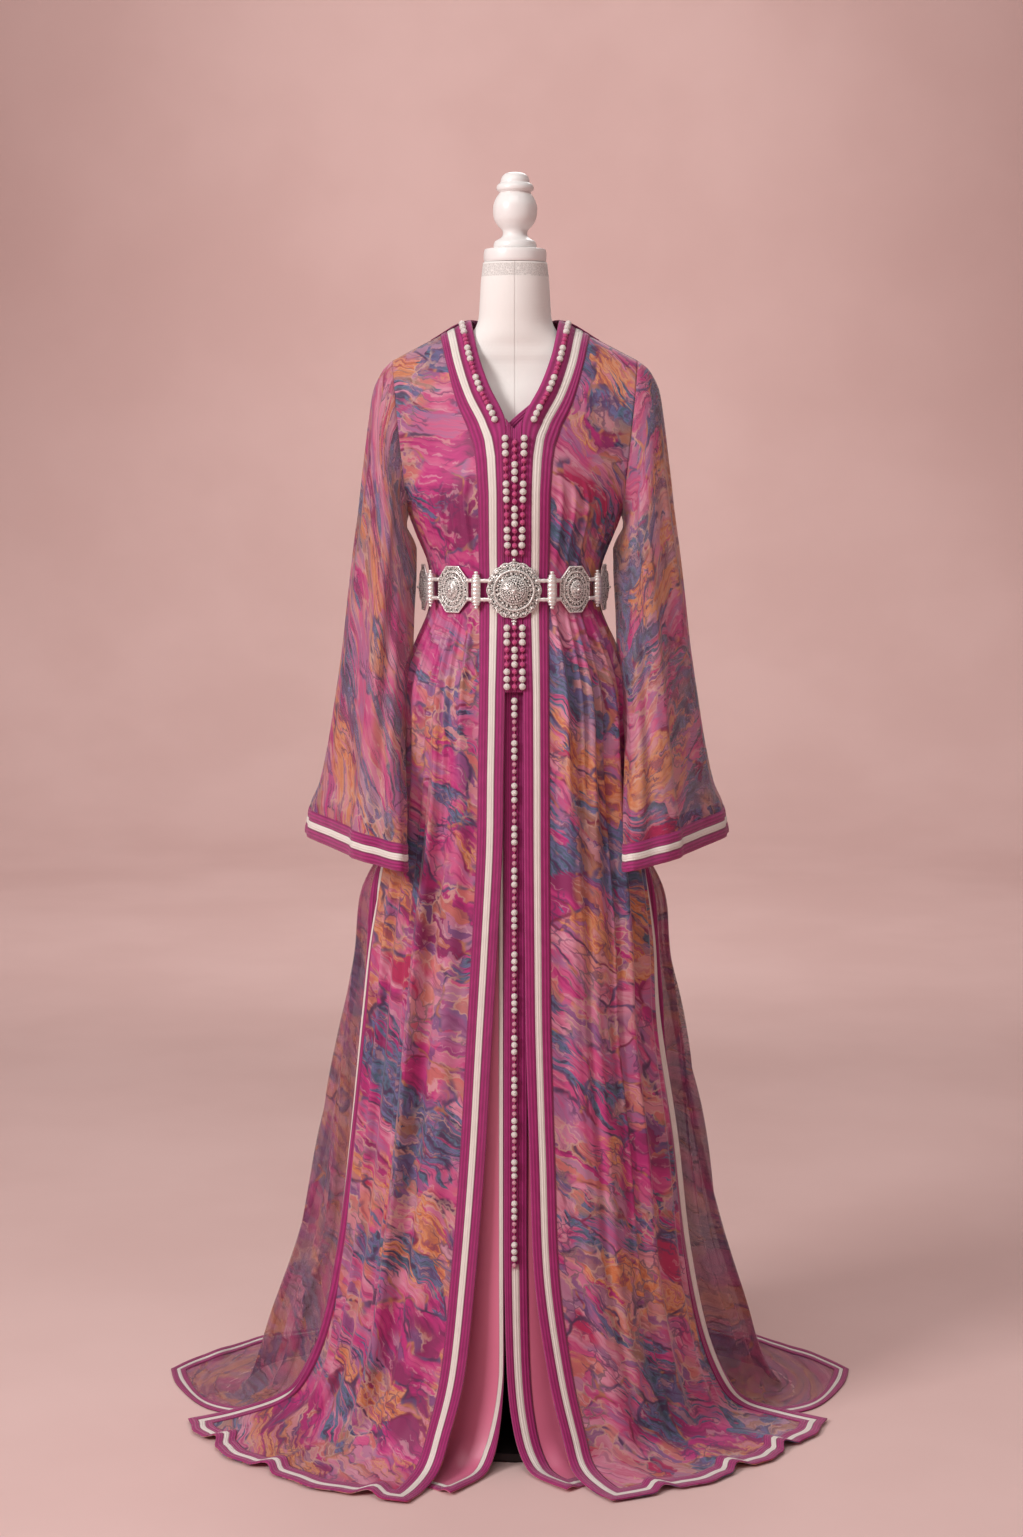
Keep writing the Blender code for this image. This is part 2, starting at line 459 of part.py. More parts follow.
def bead_string(name, line, out, sizes, look, sides=4):
    """A string of knot buttons, one wide ring and one thin ring to a bead."""
    line = np.asarray(line)
    count = len(sizes)
    steps = np.linalg.norm(np.diff(line, axis=0), axis=1)
    along = np.concatenate(([0.0], np.cumsum(steps)))
    places = np.linspace(0, along[-1], 2 * count + 1)
    centres = np.stack([np.interp(places, along, line[:, k]) for k in range(3)], axis=1)
    ups = np.stack([np.interp(places, along, np.asarray(out)[:, k]) for k in range(3)], axis=1)
    heading = np.gradient(centres, axis=0)
    points = []
    for k, centre in enumerate(centres):
        up = ups[k] / np.linalg.norm(ups[k])
        ahead = heading[k] / np.linalg.norm(heading[k])
        side = np.cross(ahead, up)
        side = side / np.linalg.norm(side)
        radius = sizes[(k - 1) // 2] / 2 if k % 2 else 0.0009
        for s in range(sides):
            turn = 2 * math.pi * s / sides
            points.append(centre + radius * (math.cos(turn) * side + math.sin(turn) * up))
    faces = []
    for k in range(len(centres) - 1):
        for s in range(sides):
            t = (s + 1) % sides
            faces.append((k * sides + s, k * sides + t, (k + 1) * sides + t, (k + 1) * sides + s))
    faces.append(tuple(range(sides)))
    foot = (len(centres) - 1) * sides
    faces.append(tuple(foot + s for s in reversed(range(sides))))
    return closed_body(name, points, faces, look, smooth=False)


def lathe(name, profile, look, sides=20):
    """A turned solid from a table of radius and height, closed at both ends."""
    points = []
    for radius, height in profile:
        for s in range(sides):
            turn = 2 * math.pi * s / sides
            points.append((radius * math.cos(turn), radius * math.sin(turn), height))
    faces = [tuple(reversed(range(sides)))]
    for k in range(len(profile) - 1):
        for s in range(sides):
            t = (s + 1) % sides
            faces.append((k * sides + s, k * sides + t, (k + 1) * sides + t, (k + 1) * sides + s))
    foot = (len(profile) - 1) * sides
    faces.append(tuple(foot + s for s in range(sides)))
    return closed_body(name, points, faces, look)


# Looks
PRINTED_CHIFFON = material("printed_chiffon", (0.45, 0.10, 0.20), 0.55, 0.0)
PINK_SATIN = material("pink_satin", (0.62, 0.10, 0.28), 0.35, 0.0)
MAGENTA_BRAID = material("magenta_braid", (0.33, 0.012, 0.12), 0.6, 0.0)
KNOTS = material("knot_buttons", (0.80, 0.70, 0.68), 0.4, 0.0)
SILVER = material("silver", (0.72, 0.69, 0.64), 0.35, 1.0)
JERSEY = material("white_jersey", (0.84, 0.82, 0.79), 0.8, 0.0)
PAINTED_WOOD = material("white_painted_wood", (0.86, 0.84, 0.82), 0.35, 0.0)

# Dress form
FORM_SIDES = 18
form_points = []
for height, half, front, back, roundness in FORM_SECTIONS:
    for s in range(FORM_SIDES):
        turn = 2 * math.pi * s / FORM_SIDES
        c, d = math.cos(turn), math.sin(turn)
        x = half * math.copysign(abs(c) ** (2 / roundness), c)
        depth = back if d > 0 else front
        y = depth * math.copysign(abs(d) ** (2 / roundness), d)
        form_points.append((x, y, height))
form_faces = [tuple(reversed(range(FORM_SIDES)))]
for k in range(len(FORM_SECTIONS) - 1):
    for s in range(FORM_SIDES):
        t = (s + 1) % FORM_SIDES
        a, b = k * FORM_SIDES, (k + 1) * FORM_SIDES
        form_faces.append((a + s, a + t, b + t, b + s))
form_top = (len(FORM_SECTIONS) - 1) * FORM_SIDES
form_faces.append(tuple(form_top + s for s in range(FORM_SIDES)))
closed_body("form_torso", form_points, form_faces, JERSEY)

NECK_CAP = ((0.0425, 1.6875), (0.0440, 1.6885), (0.0440, 1.7050), (0.0425, 1.7063))
lathe("form_neck_cap", NECK_CAP, PAINTED_WOOD, 20)
FINIAL = (
    (0.0295, 1.7068),
    (0.0302, 1.7100),
    (0.0290, 1.7155),
    (0.0200, 1.7200),
    (0.0172, 1.7260),
    (0.0176, 1.7310),
    (0.0245, 1.7380),
    (0.0295, 1.7480),
    (0.0308, 1.7570),
    (0.0300, 1.7680),
    (0.0255, 1.7780),
    (0.0215, 1.7840),
    (0.0255, 1.7870),
    (0.0258, 1.7930),
    (0.0210, 1.7960),
    (0.0195, 1.8020),
    (0.0150, 1.8090),
    (0.0070, 1.8118),
)
lathe("form_finial", FINIAL, PAINTED_WOOD, 10)
lathe("form_pole", ((POLE_RADIUS, 0.0185), (POLE_RADIUS, 0.8596)), PAINTED_WOOD, 14)
BASE = ((BASE_RADIUS - 0.002, 0.0), (BASE_RADIUS, 0.003), (BASE_RADIUS - 0.003, 0.012), (0.020, 0.0182))
lathe("form_base", BASE, PAINTED_WOOD, 24)


def front_grid(table, folds, rows, band, middle, side_band):
    """A front panel's grid: band columns, middle columns, side band columns."""
    lines = []
    for row in rows:
        section = front_section(table, row)
        length = row_length(section)
        width = float(np.interp(row, [w[0] for w in band], [w[1] for w in band]))
        spots = [0.0, width / 2, width]
        spots += list(np.linspace(width, length - side_band, middle + 2)[1:-1])
        spots += [length - side_band, length - side_band / 2, length]
        placed, shares = at_lengths(section, spots)
        lines.append((placed, shares))
    grid = np.array([line[0] for line in lines])
    sign = 1.0 if table[8][3] < 0 else -1.0
    out = normals(grid, sign)
    for i, row in enumerate(rows):
        for j in range(grid.shape[1]):
            grid[i, j] += out[i, j] * np.array((1, 1, 0)) * fold_height(folds, lines[i][1][j], row)
    return grid, normals(grid, sign)


def back_grid(table, folds, rows, middle, side_band):
    """A back panel's grid: side band columns, middle columns, side band columns."""
    lines = []
    for row in rows:
        section = back_section(table, row)
        length = row_length(section)
        spots = [0.0, side_band]
        spots += list(np.linspace(side_band, length - side_band, middle + 2)[1:-1])
        spots += [length - side_band, length]
        placed, shares = at_lengths(section, spots)
        lines.append((placed, shares))
    grid = np.array([line[0] for line in lines])
    out = normals(grid, 1.0)
    for i, row in enumerate(rows):
        for j in range(grid.shape[1]):
            grid[i, j] += out[i, j] * np.array((1, 1, 0)) * fold_height(folds, lines[i][1][j], row)
    return grid, normals(grid, 1.0)


# Outer kaftan fronts
FRONT_ROWS = (
    0, 1, 2, 3, 4, 5, 6, 7, 8, 8.5, 9, 10, 11, 12, 13, 14, 15, 16, 16.6, 17.2, 17.8, 18.4,
    19, 19.6, 20.4, 21,
)
SLIT_ROW = FRONT_ROWS.index(12)
SPLIT_ROW = FRONT_ROWS.index(10)
left_grid, left_out = front_grid(FRONT_LEFT, FOLDS_FRONT_LEFT, FRONT_ROWS, BAND_WIDTHS, 8, BRAID_WIDTH)
right_grid, right_out = front_grid(FRONT_RIGHT, FOLDS_FRONT_RIGHT, FRONT_ROWS, BAND_WIDTHS, 8, BRAID_WIDTH)
panel("outer_front_left", left_grid, left_out, PRINTED_CHIFFON)
panel("outer_front_right", right_grid, right_out, PRINTED_CHIFFON)

# Outer kaftan back
BACK_ROWS = (
    0, 1, 2, 3, 4, 5, 6, 7, 8, 9, 10, 11, 12, 13, 14, 15, 16, 17, 18, 19, 20, 21, 22, 23.2, 24,
)
BACK_SLIT_ROW = BACK_ROWS.index(13)
back_panel, back_out = back_grid(BACK, FOLDS_BACK, BACK_ROWS, 15, BRAID_WIDTH)
panel("outer_back", back_panel, back_out, PRINTED_CHIFFON)

# Braid on the fronts
for side, grid, out in (("left", left_grid, left_out), ("right", right_grid, right_out)):
    braid("braid_front_" + side, grid[:, :3], out[:, :3], MAGENTA_BRAID)
    braid("braid_hem_" + side, grid[-3:, 2:-2], out[-3:, 2:-2], MAGENTA_BRAID, ("first", "last"))
    braid("braid_slit_" + side, grid[SLIT_ROW:, -3:], out[SLIT_ROW:, -3:], MAGENTA_BRAID, ("first",))

# Braid on the back
braid("braid_back_left", back_panel[BACK_SLIT_ROW:, :2], back_out[BACK_SLIT_ROW:, :2], MAGENTA_BRAID)
braid("braid_back_right", back_panel[BACK_SLIT_ROW:, -2:], back_out[BACK_SLIT_ROW:, -2:], MAGENTA_BRAID)
braid("braid_back_hem", back_panel[-2:, 1:-1], back_out[-2:, 1:-1], MAGENTA_BRAID, ("first", "last"))
braid("braid_back_neck", back_panel[:2, 4:-4], back_out[:2, 4:-4], MAGENTA_BRAID)

# Inner dress
INNER_ROWS = (0, 1, 2, 3, 4, 5, 6, 7, 8, 9, 10, 12, 13, 15, 16, 17, 18, 19, 20)
INNER_BAND = ((0.0, INNER_BRAID_WIDTH), (20.0, INNER_BRAID_WIDTH))
inner_left, inner_left_out = front_grid(INNER_LEFT, (), INNER_ROWS, INNER_BAND, 2, 0.03)
inner_right, inner_right_out = front_grid(INNER_RIGHT, (), INNER_ROWS, INNER_BAND, 3, 0.03)
inner_back, inner_back_out = back_grid(INNER_BACK, (), INNER_ROWS, 7, 0.03)
panel("inner_front_left", inner_left, inner_left_out, PINK_SATIN)
panel("inner_front_right", inner_right, inner_right_out, PINK_SATIN)
panel("inner_back", inner_back, inner_back_out, PINK_SATIN)
for side, grid, out in (("left", inner_left, inner_left_out), ("right", inner_right, inner_right_out)):
    braid("braid_inner_" + side, grid[4:, :3], out[4:, :3], MAGENTA_BRAID)
    braid("braid_inner_hem_" + side, grid[-2:, 2:], out[-2:, 2:], MAGENTA_BRAID, ("first",))
braid("braid_inner_back_hem", inner_back[-2:], inner_back_out[-2:], MAGENTA_BRAID)

# Placket between the two front edges
placket_rows = range(FRONT_ROWS.index(4), SPLIT_ROW + 1)
placket = []
for i in placket_rows:
    first = left_grid[i, 0] + np.array((GAP, 0.0, 0.0))
    last = right_grid[i, 0] - np.array((GAP, 0.0, 0.0))
    placket.append((first, (first + last) / 2, last))
placket = np.array(placket)
placket_out = np.tile(np.array((0.0, -1.0, 0.0)), (*placket.shape[:2], 1))
placket[0, :, 2] -= (0.0, 0.016, 0.0)
placket[0, 1, 1] = np.interp(placket[0, 1, 2], placket[::-1, 0, 2], placket[::-1, 0, 1])
wall("placket", placket + placket_out * (GAP + BRAID), placket, MAGENTA_BRAID)

# Sleeves
SLEEVE_TURNS = 14
SLEEVE_RINGS = (0, 1, 2, 3, 4, 5, 6, 7, 8, 9, 10, 11, 12, 13)


def armhole(turn, sign):
    """A point of the armhole, with turn 0 at the top and a quarter at the front."""
    if turn <= 0.5:
        table = FRONT_LEFT if sign < 0 else FRONT_RIGHT
        spot = front_section(table, turn * 12)[-1]
    else:
        section = back_section(BACK, (1 - turn) * 12)
        spot = section[0] if sign < 0 else section[-1]
    return spot + np.array((sign * SLEEVE_GAP, 0.0, 0.0))


def sleeve_ring(place, sign):
    """Points around one ring of a sleeve."""
    ox, oy, oz, ix, iy, iz, depth = between(SLEEVE, place)
    if sign > 0:
        ox *= SLEEVE_RIGHT_SHARE
    points = []
    for s in range(SLEEVE_TURNS):
        turn = s / SLEEVE_TURNS
        c, d = math.cos(2 * math.pi * turn), math.sin(2 * math.pi * turn)
        x = (ox + ix) / 2 + (ox - ix) / 2 * c
        y = (oy + iy) / 2 + (oy - iy) / 2 * c - depth * d
        z = (oz + iz) / 2 + (oz - iz) / 2 * c
        points.append((-sign * x, y, z))
    return points


def sleeve_grid(sign):
    """A sleeve's grid from the armhole to the cuff."""
    rings = [[armhole(s / SLEEVE_TURNS, sign) for s in range(SLEEVE_TURNS)]]
    rings += [sleeve_ring(place, sign) for place in SLEEVE_RINGS]
    grid = np.array(rings)
    turning = -1.0 if sign < 0 else 1.0
    out = normals(grid, turning, loop=True)
    for i in range(2, grid.shape[0]):
        for s in range(SLEEVE_TURNS):
            grid[i, s] += out[i, s] * fold_height(FOLDS_SLEEVE, s / SLEEVE_TURNS, i - 1)
    return grid, normals(grid, turning, loop=True)


for side, sign in (("left", -1), ("right", 1)):
    grid, out = sleeve_grid(sign)
    panel("sleeve_" + side, grid, out, PRINTED_CHIFFON, loop=True)
    braid("braid_cuff_" + side, grid[-2:], out[-2:], MAGENTA_BRAID, loop=True)

# Knot buttons, three white then three magenta
LARGE = 0.0082
SMALL = 0.0057
COLUMN_LARGE = 0.0098
COLUMN_SMALL = 0.0074


def knots(count, large, small, large_first=True):
    """Bead sizes in threes, large and small in turn."""
    return [large if ((k // 3) % 2 == 0) == large_first else small for k in range(count)]


def line_on(grid, out, rows, across, lift):
    """A line over a grid's band at a share of its first column, with its directions."""
    points, ups = [], []
    for i in rows:
        point = grid[i, 0] * (1 - across) + grid[i, 1] * across
        up = out[i, 0] * (1 - across) + out[i, 1] * across
        up = up / np.linalg.norm(up)
        points.append(point + up * lift)
        ups.append(up)
    return points, ups


BUTTON_LIFT = 2 * GAP + BRAID + LARGE / 2 + 0.0004
for side, grid, out in (("left", left_grid, left_out), ("right", right_grid, right_out)):
    line, ups = line_on(grid, out, range(0, FRONT_ROWS.index(4) + 1), 0.52, BUTTON_LIFT)
    bead_string("buttons_neck_" + side, line, ups, knots(21, LARGE, SMALL), KNOTS)

COLUMN_LIFT = 2 * GAP + BRAID + COLUMN_LARGE / 2 + 0.0002
for name, x, count, top, bottom, large_first in (
    ("left", -0.0114, 16, 1.448, 1.281, True),
    ("centre", -0.0007, 16, 1.442, 1.281, False),
    ("right", 0.0100, 16, 1.448, 1.281, True),
    ("lower_left", -0.0114, 9, 1.1880, 1.098, True),
    ("lower_centre", -0.0007, 9, 1.1880, 1.098, False),
    ("lower_right", 0.0100, 9, 1.1880, 1.098, True),
):
    heights = np.union1d(placket[:, 0, 2], np.linspace(top, bottom, 9))[::-1]
    heights = heights[(heights <= top) & (heights >= bottom)]
    depths = np.interp(heights, placket[::-1, 0, 2], placket[::-1, 0, 1])
    line = [(x, y - COLUMN_LIFT, z) for y, z in zip(depths, heights)]
    ups = [(0.0, -1.0, 0.0)] * len(line)
    sizes = knots(count, COLUMN_LARGE, COLUMN_SMALL, large_first)
    bead_string("buttons_" + name, line, ups, sizes, KNOTS)

heights = np.union1d(inner_right[:, 0, 2], np.linspace(1.088, 0.284, 24))[::-1]
heights = heights[(heights <= 1.088) & (heights >= 0.284)]
depths = np.interp(heights, inner_right[::-1, 0, 2], inner_right[::-1, 0, 1])
line = [(-0.001, y - BUTTON_LIFT + 0.0004, z) for y, z in zip(depths, heights)]
bead_string("buttons_inner", line, [(0.0, -1.0, 0.0)] * len(line), knots(82, 0.0090, 0.0066), KNOTS)

# Belt
belt_turns = np.linspace(-math.pi, math.pi, 1441)
belt_path = np.stack(
    (BELT_HALF_WIDTH * np.sin(belt_turns), -BELT_HALF_DEPTH * np.cos(belt_turns)), axis=1
)
belt_steps = np.linalg.norm(np.diff(belt_path, axis=0), axis=1)
belt_along = np.concatenate(([0.0], np.cumsum(belt_steps)))
belt_along -= belt_along[-1] / 2
BELT_LENGTH = belt_along[-1] * 2


def belt_point(along, up, lift):
    """A point of the belt at a length from its middle, a height and a lift off the cloth."""
    along = (along + BELT_LENGTH / 2) % BELT_LENGTH - BELT_LENGTH / 2
    turn = float(np.interp(along, belt_along, belt_turns))
    face = np.array((math.sin(turn) / BELT_HALF_WIDTH, -math.cos(turn) / BELT_HALF_DEPTH))
    face = face / np.linalg.norm(face)
    x = BELT_HALF_WIDTH * math.sin(turn) + face[0] * lift
    y = -BELT_HALF_DEPTH * math.cos(turn) + face[1] * lift
    return (x + BELT_SHIFT, y, BELT_HEIGHT + up)


def plaque(name, middle, outline, levels, look):
    """A plaque from an outline and levels of share and lift, closed by a fan at each end."""
    points = []
    for share, lift in levels:
        for across, up in outline:
            points.append(belt_point(middle + across * share, up * share, lift))
    sides = len(outline)
    faces = []
    for k in range(len(levels) - 1):
        for s in range(sides):
            t = (s + 1) % sides
            faces.append((k * sides + s, k * sides + t, (k + 1) * sides + t, (k + 1) * sides + s))
    back = len(points)
    points.append(belt_point(middle, 0.0, levels[0][1]))
    front = len(points)
    points.append(belt_point(middle, 0.0, levels[-1][1] + 0.0008))
    last = (len(levels) - 1) * sides
    for s in range(sides):
        t = (s + 1) % sides
        faces.append((t, s, back))
        faces.append((last + s, last + t, front))
    return closed_body(name, points, faces, look, smooth=False)


w, h = PLAQUE[0] / 2, PLAQUE[1] / 2
PLAQUE_OUTLINE = (
    (w, h * 0.35), (w * 0.48, h), (0.0, h), (-w * 0.48, h), (-w, h * 0.35), (-w, -h * 0.35),
    (-w * 0.48, -h), (0.0, -h), (w * 0.48, -h), (w, -h * 0.35),
)
PLAQUE_LEVELS = (
    (1.0, 0.0008), (1.0, 0.0008 + PLATE), (0.86, 0.0037), (0.60, 0.0044), (0.34, 0.0072),
)
MEDALLION_OUTLINE = []
for k in range(16):
    turn = 2 * math.pi * k / 16
    swell = 0.94 if k % 2 else 1.0
    MEDALLION_OUTLINE.append(
        (MEDALLION[0] / 2 * swell * math.cos(turn), MEDALLION[1] / 2 * swell * math.sin(turn))
    )
MEDALLION_LEVELS = (
    (1.0, -0.0003),
    (1.0, -0.0003 + PLATE),
    (0.72, 0.0075),
    (0.60, 0.0080),
    (0.52, 0.0105),
    (0.30, 0.0155),
    (0.09, 0.0175),
    (0.07, 0.0200),
)
plaque("belt_medallion", 0.0, MEDALLION_OUTLINE, MEDALLION_LEVELS, SILVER)
spacing = (BELT_LENGTH - 2 * FIRST_PLAQUE) / (2 * PLAQUES_EACH_SIDE - 1)
plaque_places = []
for k in range(PLAQUES_EACH_SIDE):
    plaque_places += [FIRST_PLAQUE + k * spacing, -FIRST_PLAQUE - k * spacing]
for k, middle in enumerate(sorted(plaque_places)):
    plaque("belt_plaque_%d" % (k + 1), middle, PLAQUE_OUTLINE, PLAQUE_LEVELS, SILVER)

SPINDLE = (
    (0.0016, 1.00), (0.0022, 0.90), (0.0034, 0.80), (0.0052, 0.62), (0.0056, 0.50), (0.0056, 0.30),
    (0.0056, -0.30), (0.0056, -0.50), (0.0052, -0.62), (0.0034, -0.80), (0.0022, -0.90), (0.0016, -1.00),
)


def spindle(name, middle, reach_back, reach_on):
    """A ribbed bar with a lug at each corner that reaches towards the plaques."""
    sides = 4
    points, faces = [], []
    for radius, share in SPINDLE:
        for s in range(sides):
            turn = 2 * math.pi * (s + 0.5) / sides
            up = SPINDLE_HEIGHT / 2 * share
            points.append(belt_point(middle + radius * math.sin(turn), up, 0.0062 + radius * math.cos(turn)))
    for k in range(len(SPINDLE) - 1):
        for s in range(sides):
            t = (s + 1) % sides
            a, b = k * sides + s, k * sides + t
            c, d = (k + 1) * sides + t, (k + 1) * sides + s
            if k in (4, 6) and s in (0, 2):
                way = reach_on if s == 0 else -reach_back
                start = len(points)
                side = 1 if s == 0 else -1
                for corner, lift in ((a, 0.0009), (b, -0.0009), (c, -0.0009), (d, 0.0009)):
                    up = points[corner][2] - BELT_HEIGHT
                    points.append(belt_point(middle + way, up, 0.0019 + side * lift))
                e, f, g, i = start, start + 1, start + 2, start + 3
                faces += [(a, b, f, e), (b, c, g, f), (c, d, i, g), (d, a, e, i), (e, f, g, i)]
            else:
                faces.append((a, b, c, d))
    faces.append(tuple(range(sides)))
    last = (len(SPINDLE) - 1) * sides
    faces.append(tuple(last + s for s in reversed(range(sides))))
    return closed_body(name, points, faces, SILVER, smooth=False)


FIRST_SPINDLE = 0.0515
lug = spacing / 2 - PLAQUE[0] / 2 - GAP
near_lug = FIRST_SPINDLE - 0.93 * MEDALLION[0] / 2 - GAP
far_lug = FIRST_PLAQUE - FIRST_SPINDLE - PLAQUE[0] / 2 - GAP
spindles = [(FIRST_SPINDLE, near_lug, far_lug), (-FIRST_SPINDLE, far_lug, near_lug)]
for k in range(PLAQUES_EACH_SIDE - 1):
    spot = FIRST_PLAQUE + (k + 0.5) * spacing
    spindles += [(spot, lug, lug), (-spot, lug, lug)]
spindles.append((BELT_LENGTH / 2, lug, lug))
for k, (middle, reach_back, reach_on) in enumerate(sorted(spindles)):
    spindle("belt_spindle_%d" % (k + 1), middle, reach_back, reach_on)
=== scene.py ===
"""Looks of the moroccan kaftan on its dress form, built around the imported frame.

The form comes first, then the inner dress, the outer kaftan with its braid, the knot buttons,
the belt, and last the floor, the light and the camera. Metres, +Z up, the front faces -Y.
"""
import json
import math

import bmesh
import bpy
import numpy as np
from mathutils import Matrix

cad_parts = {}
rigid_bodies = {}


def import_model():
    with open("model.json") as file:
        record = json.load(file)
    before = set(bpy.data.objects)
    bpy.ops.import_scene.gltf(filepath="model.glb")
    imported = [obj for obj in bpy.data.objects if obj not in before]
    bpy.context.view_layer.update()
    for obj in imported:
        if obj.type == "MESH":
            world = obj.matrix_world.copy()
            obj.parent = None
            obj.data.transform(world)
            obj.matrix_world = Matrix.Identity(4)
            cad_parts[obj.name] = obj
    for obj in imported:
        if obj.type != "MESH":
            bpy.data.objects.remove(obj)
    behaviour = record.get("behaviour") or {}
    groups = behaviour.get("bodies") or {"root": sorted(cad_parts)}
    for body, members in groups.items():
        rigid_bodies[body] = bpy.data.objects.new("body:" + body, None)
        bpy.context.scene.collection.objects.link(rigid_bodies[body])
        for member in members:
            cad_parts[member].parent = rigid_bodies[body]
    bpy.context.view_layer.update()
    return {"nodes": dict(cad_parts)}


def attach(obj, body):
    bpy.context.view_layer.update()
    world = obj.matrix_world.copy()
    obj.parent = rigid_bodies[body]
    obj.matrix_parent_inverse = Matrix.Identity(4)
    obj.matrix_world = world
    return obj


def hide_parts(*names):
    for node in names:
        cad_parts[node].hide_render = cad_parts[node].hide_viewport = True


for thing in list(bpy.data.objects):
    bpy.data.objects.remove(thing, do_unlink=True)
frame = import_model()

# Dress form: a padded torso under stretched white jersey, with one seam down its front and a
# narrow lace band at the neck. The cap and the turned finial are painted wood on a steel pole.


class Value:
    """A shader socket that adds a Math node for every operator used on it."""

    def __init__(self, socket):
        self.socket = socket

    def output(self, name):
        """Another output of the same node."""
        return Value(self.socket.node.outputs[name])

    def join(self, operation, *terms):
        node = self.socket.id_data.nodes.new("ShaderNodeMath")
        node.operation = operation
        for place, term in enumerate(terms):
            if isinstance(term, Value):
                self.socket.id_data.links.new(term.socket, node.inputs[place])
            else:
                node.inputs[place].default_value = term
        return Value(node.outputs[0])

    def __add__(self, other):
        return self.join("ADD", self, other)

    def __sub__(self, other):
        return self.join("SUBTRACT", self, other)

    def __rsub__(self, other):
        return self.join("SUBTRACT", other, self)

    def __mul__(self, other):
        return self.join("MULTIPLY", self, other)

    def __truediv__(self, other):
        return self.join("DIVIDE", self, other)

    __radd__ = __add__
    __rmul__ = __mul__

    def at_most(self, other):
        return self.join("MINIMUM", self, other)

    def at_least(self, other):
        return self.join("MAXIMUM", self, other)

    def size(self):
        return self.join("ABSOLUTE", self)

    def wave(self, cycles):
        """A sine from -1 to 1 with that many cycles to one."""
        return self.join("SINE", self * (2 * math.pi * cycles))

    def step(self, start, end):
        """Rises smoothly from 0 at start to 1 at end."""
        node = self.socket.id_data.nodes.new("ShaderNodeMapRange")
        node.interpolation_type = "SMOOTHSTEP"
        self.socket.id_data.links.new(self.socket, node.inputs["Value"])
        node.inputs["From Min"].default_value = start
        node.inputs["From Max"].default_value = end
        return Value(node.outputs["Result"])


class Look:
    """A material whose nodes are added one at a time."""

    def __init__(self, name, **constants):
        self.material = bpy.data.materials.new(name)
        self.material.use_nodes = True
        self.tree = self.material.node_tree
        self.shader = self.tree.nodes["Principled BSDF"]
        for words, value in constants.items():
            self.shader.inputs[words.replace("_", " ")].default_value = value

    def node(self, kind, settings=None, values=None):
        """A node of a kind, with its settings and the values or links of its sockets."""
        node = self.tree.nodes.new("ShaderNode" + kind)
        for key, value in (settings or {}).items():
            setattr(node, key, value)
        for key, value in (values or {}).items():
            if isinstance(value, Value):
                self.tree.links.new(value.socket, node.inputs[key])
            else:
                node.inputs[key].default_value = value
        return Value(node.outputs[0])

    def place(self, name=None):
        """Object coordinates, or the named UV map."""
        if name:
            return self.node("UVMap", {"uv_map": name})
        return self.node("TexCoord").output("Object")

    def parts(self, vector):
        """The x, y and z of a vector."""
        split = self.node("SeparateXYZ", None, {"Vector": vector})
        return split, split.output("Y"), split.output("Z")

    def vector(self, x, y, z=0.0):
        return self.node("CombineXYZ", None, {"X": x, "Y": y, "Z": z})

    def noise(self, vector, scale, detail=2.0, kind="3D", distortion=0.0):
        return self.node(
            "TexNoise",
            {"noise_dimensions": kind},
            {"Vector": vector, "Scale": scale, "Detail": detail, "Distortion": distortion},
        )

    def mix(self, amount, first, second):
        """A colour between two colours."""
        node = self.tree.nodes.new("ShaderNodeMix")
        node.data_type = "RGBA"
        for key, value in ((0, amount), (6, first), (7, second)):
            if isinstance(value, Value):
                self.tree.links.new(value.socket, node.inputs[key])
            elif key:
                node.inputs[key].default_value = (*value, 1.0)
            else:
                node.inputs[key].default_value = value
        return Value(node.outputs[2])

    def ramp(self, amount, stops, interpolation="EASE"):
        """A colour from a list of places and colours."""
        node = self.tree.nodes.new("ShaderNodeValToRGB")
        self.tree.links.new(amount.socket, node.inputs["Fac"])
        node.color_ramp.interpolation = interpolation
        while len(node.color_ramp.elements) < len(stops):
            node.color_ramp.elements.new(0.5)
        for element, (spot, colour) in zip(node.color_ramp.elements, stops):
            element.position = spot
            element.color = (*colour, 1.0)
        return Value(node.outputs["Color"])

    def finish(self, height=None, distance=0.001, strength=1.0, **links):
        """Links values to the shader, and a height through a Bump node to its normal."""
        for words, value in links.items():
            self.tree.links.new(value.socket, self.shader.inputs[words.replace("_", " ")])
        if height is not None:
            bump = self.node("Bump", None, {"Height": height, "Distance": distance, "Strength": strength})
            self.tree.links.new(bump.socket, self.shader.inputs["Normal"])
        return self.material


def piece(name, points, faces, look, replaced=(), smooth=True, uv=None, values=None):
    """A finished mesh on the frame's one body and the CAD nodes it stands for."""
    mesh = bpy.data.meshes.new(name)
    mesh.from_pydata(np.asarray(points).tolist(), [], [tuple(int(i) for i in f) for f in faces])
    if uv is not None:
        layer = mesh.uv_layers.new(name="cloth")
        corners = np.empty(len(mesh.loops), dtype=np.int32)
        mesh.loops.foreach_get("vertex_index", corners)
        layer.data.foreach_set("uv", np.asarray(uv)[corners].ravel())
    for key, data in (values or {}).items():
        attribute = mesh.attributes.new(key, "FLOAT", "POINT")
        attribute.data.foreach_set("value", np.asarray(data, dtype=np.float32))
    mesh.polygons.foreach_set("use_smooth", [smooth] * len(mesh.polygons))
    mesh.materials.append(look)
    thing = bpy.data.objects.new(name, mesh)
    bpy.context.scene.collection.objects.link(thing)
    outwards(mesh)
    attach(thing, "root")
    if replaced:
        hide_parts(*replaced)
    return thing


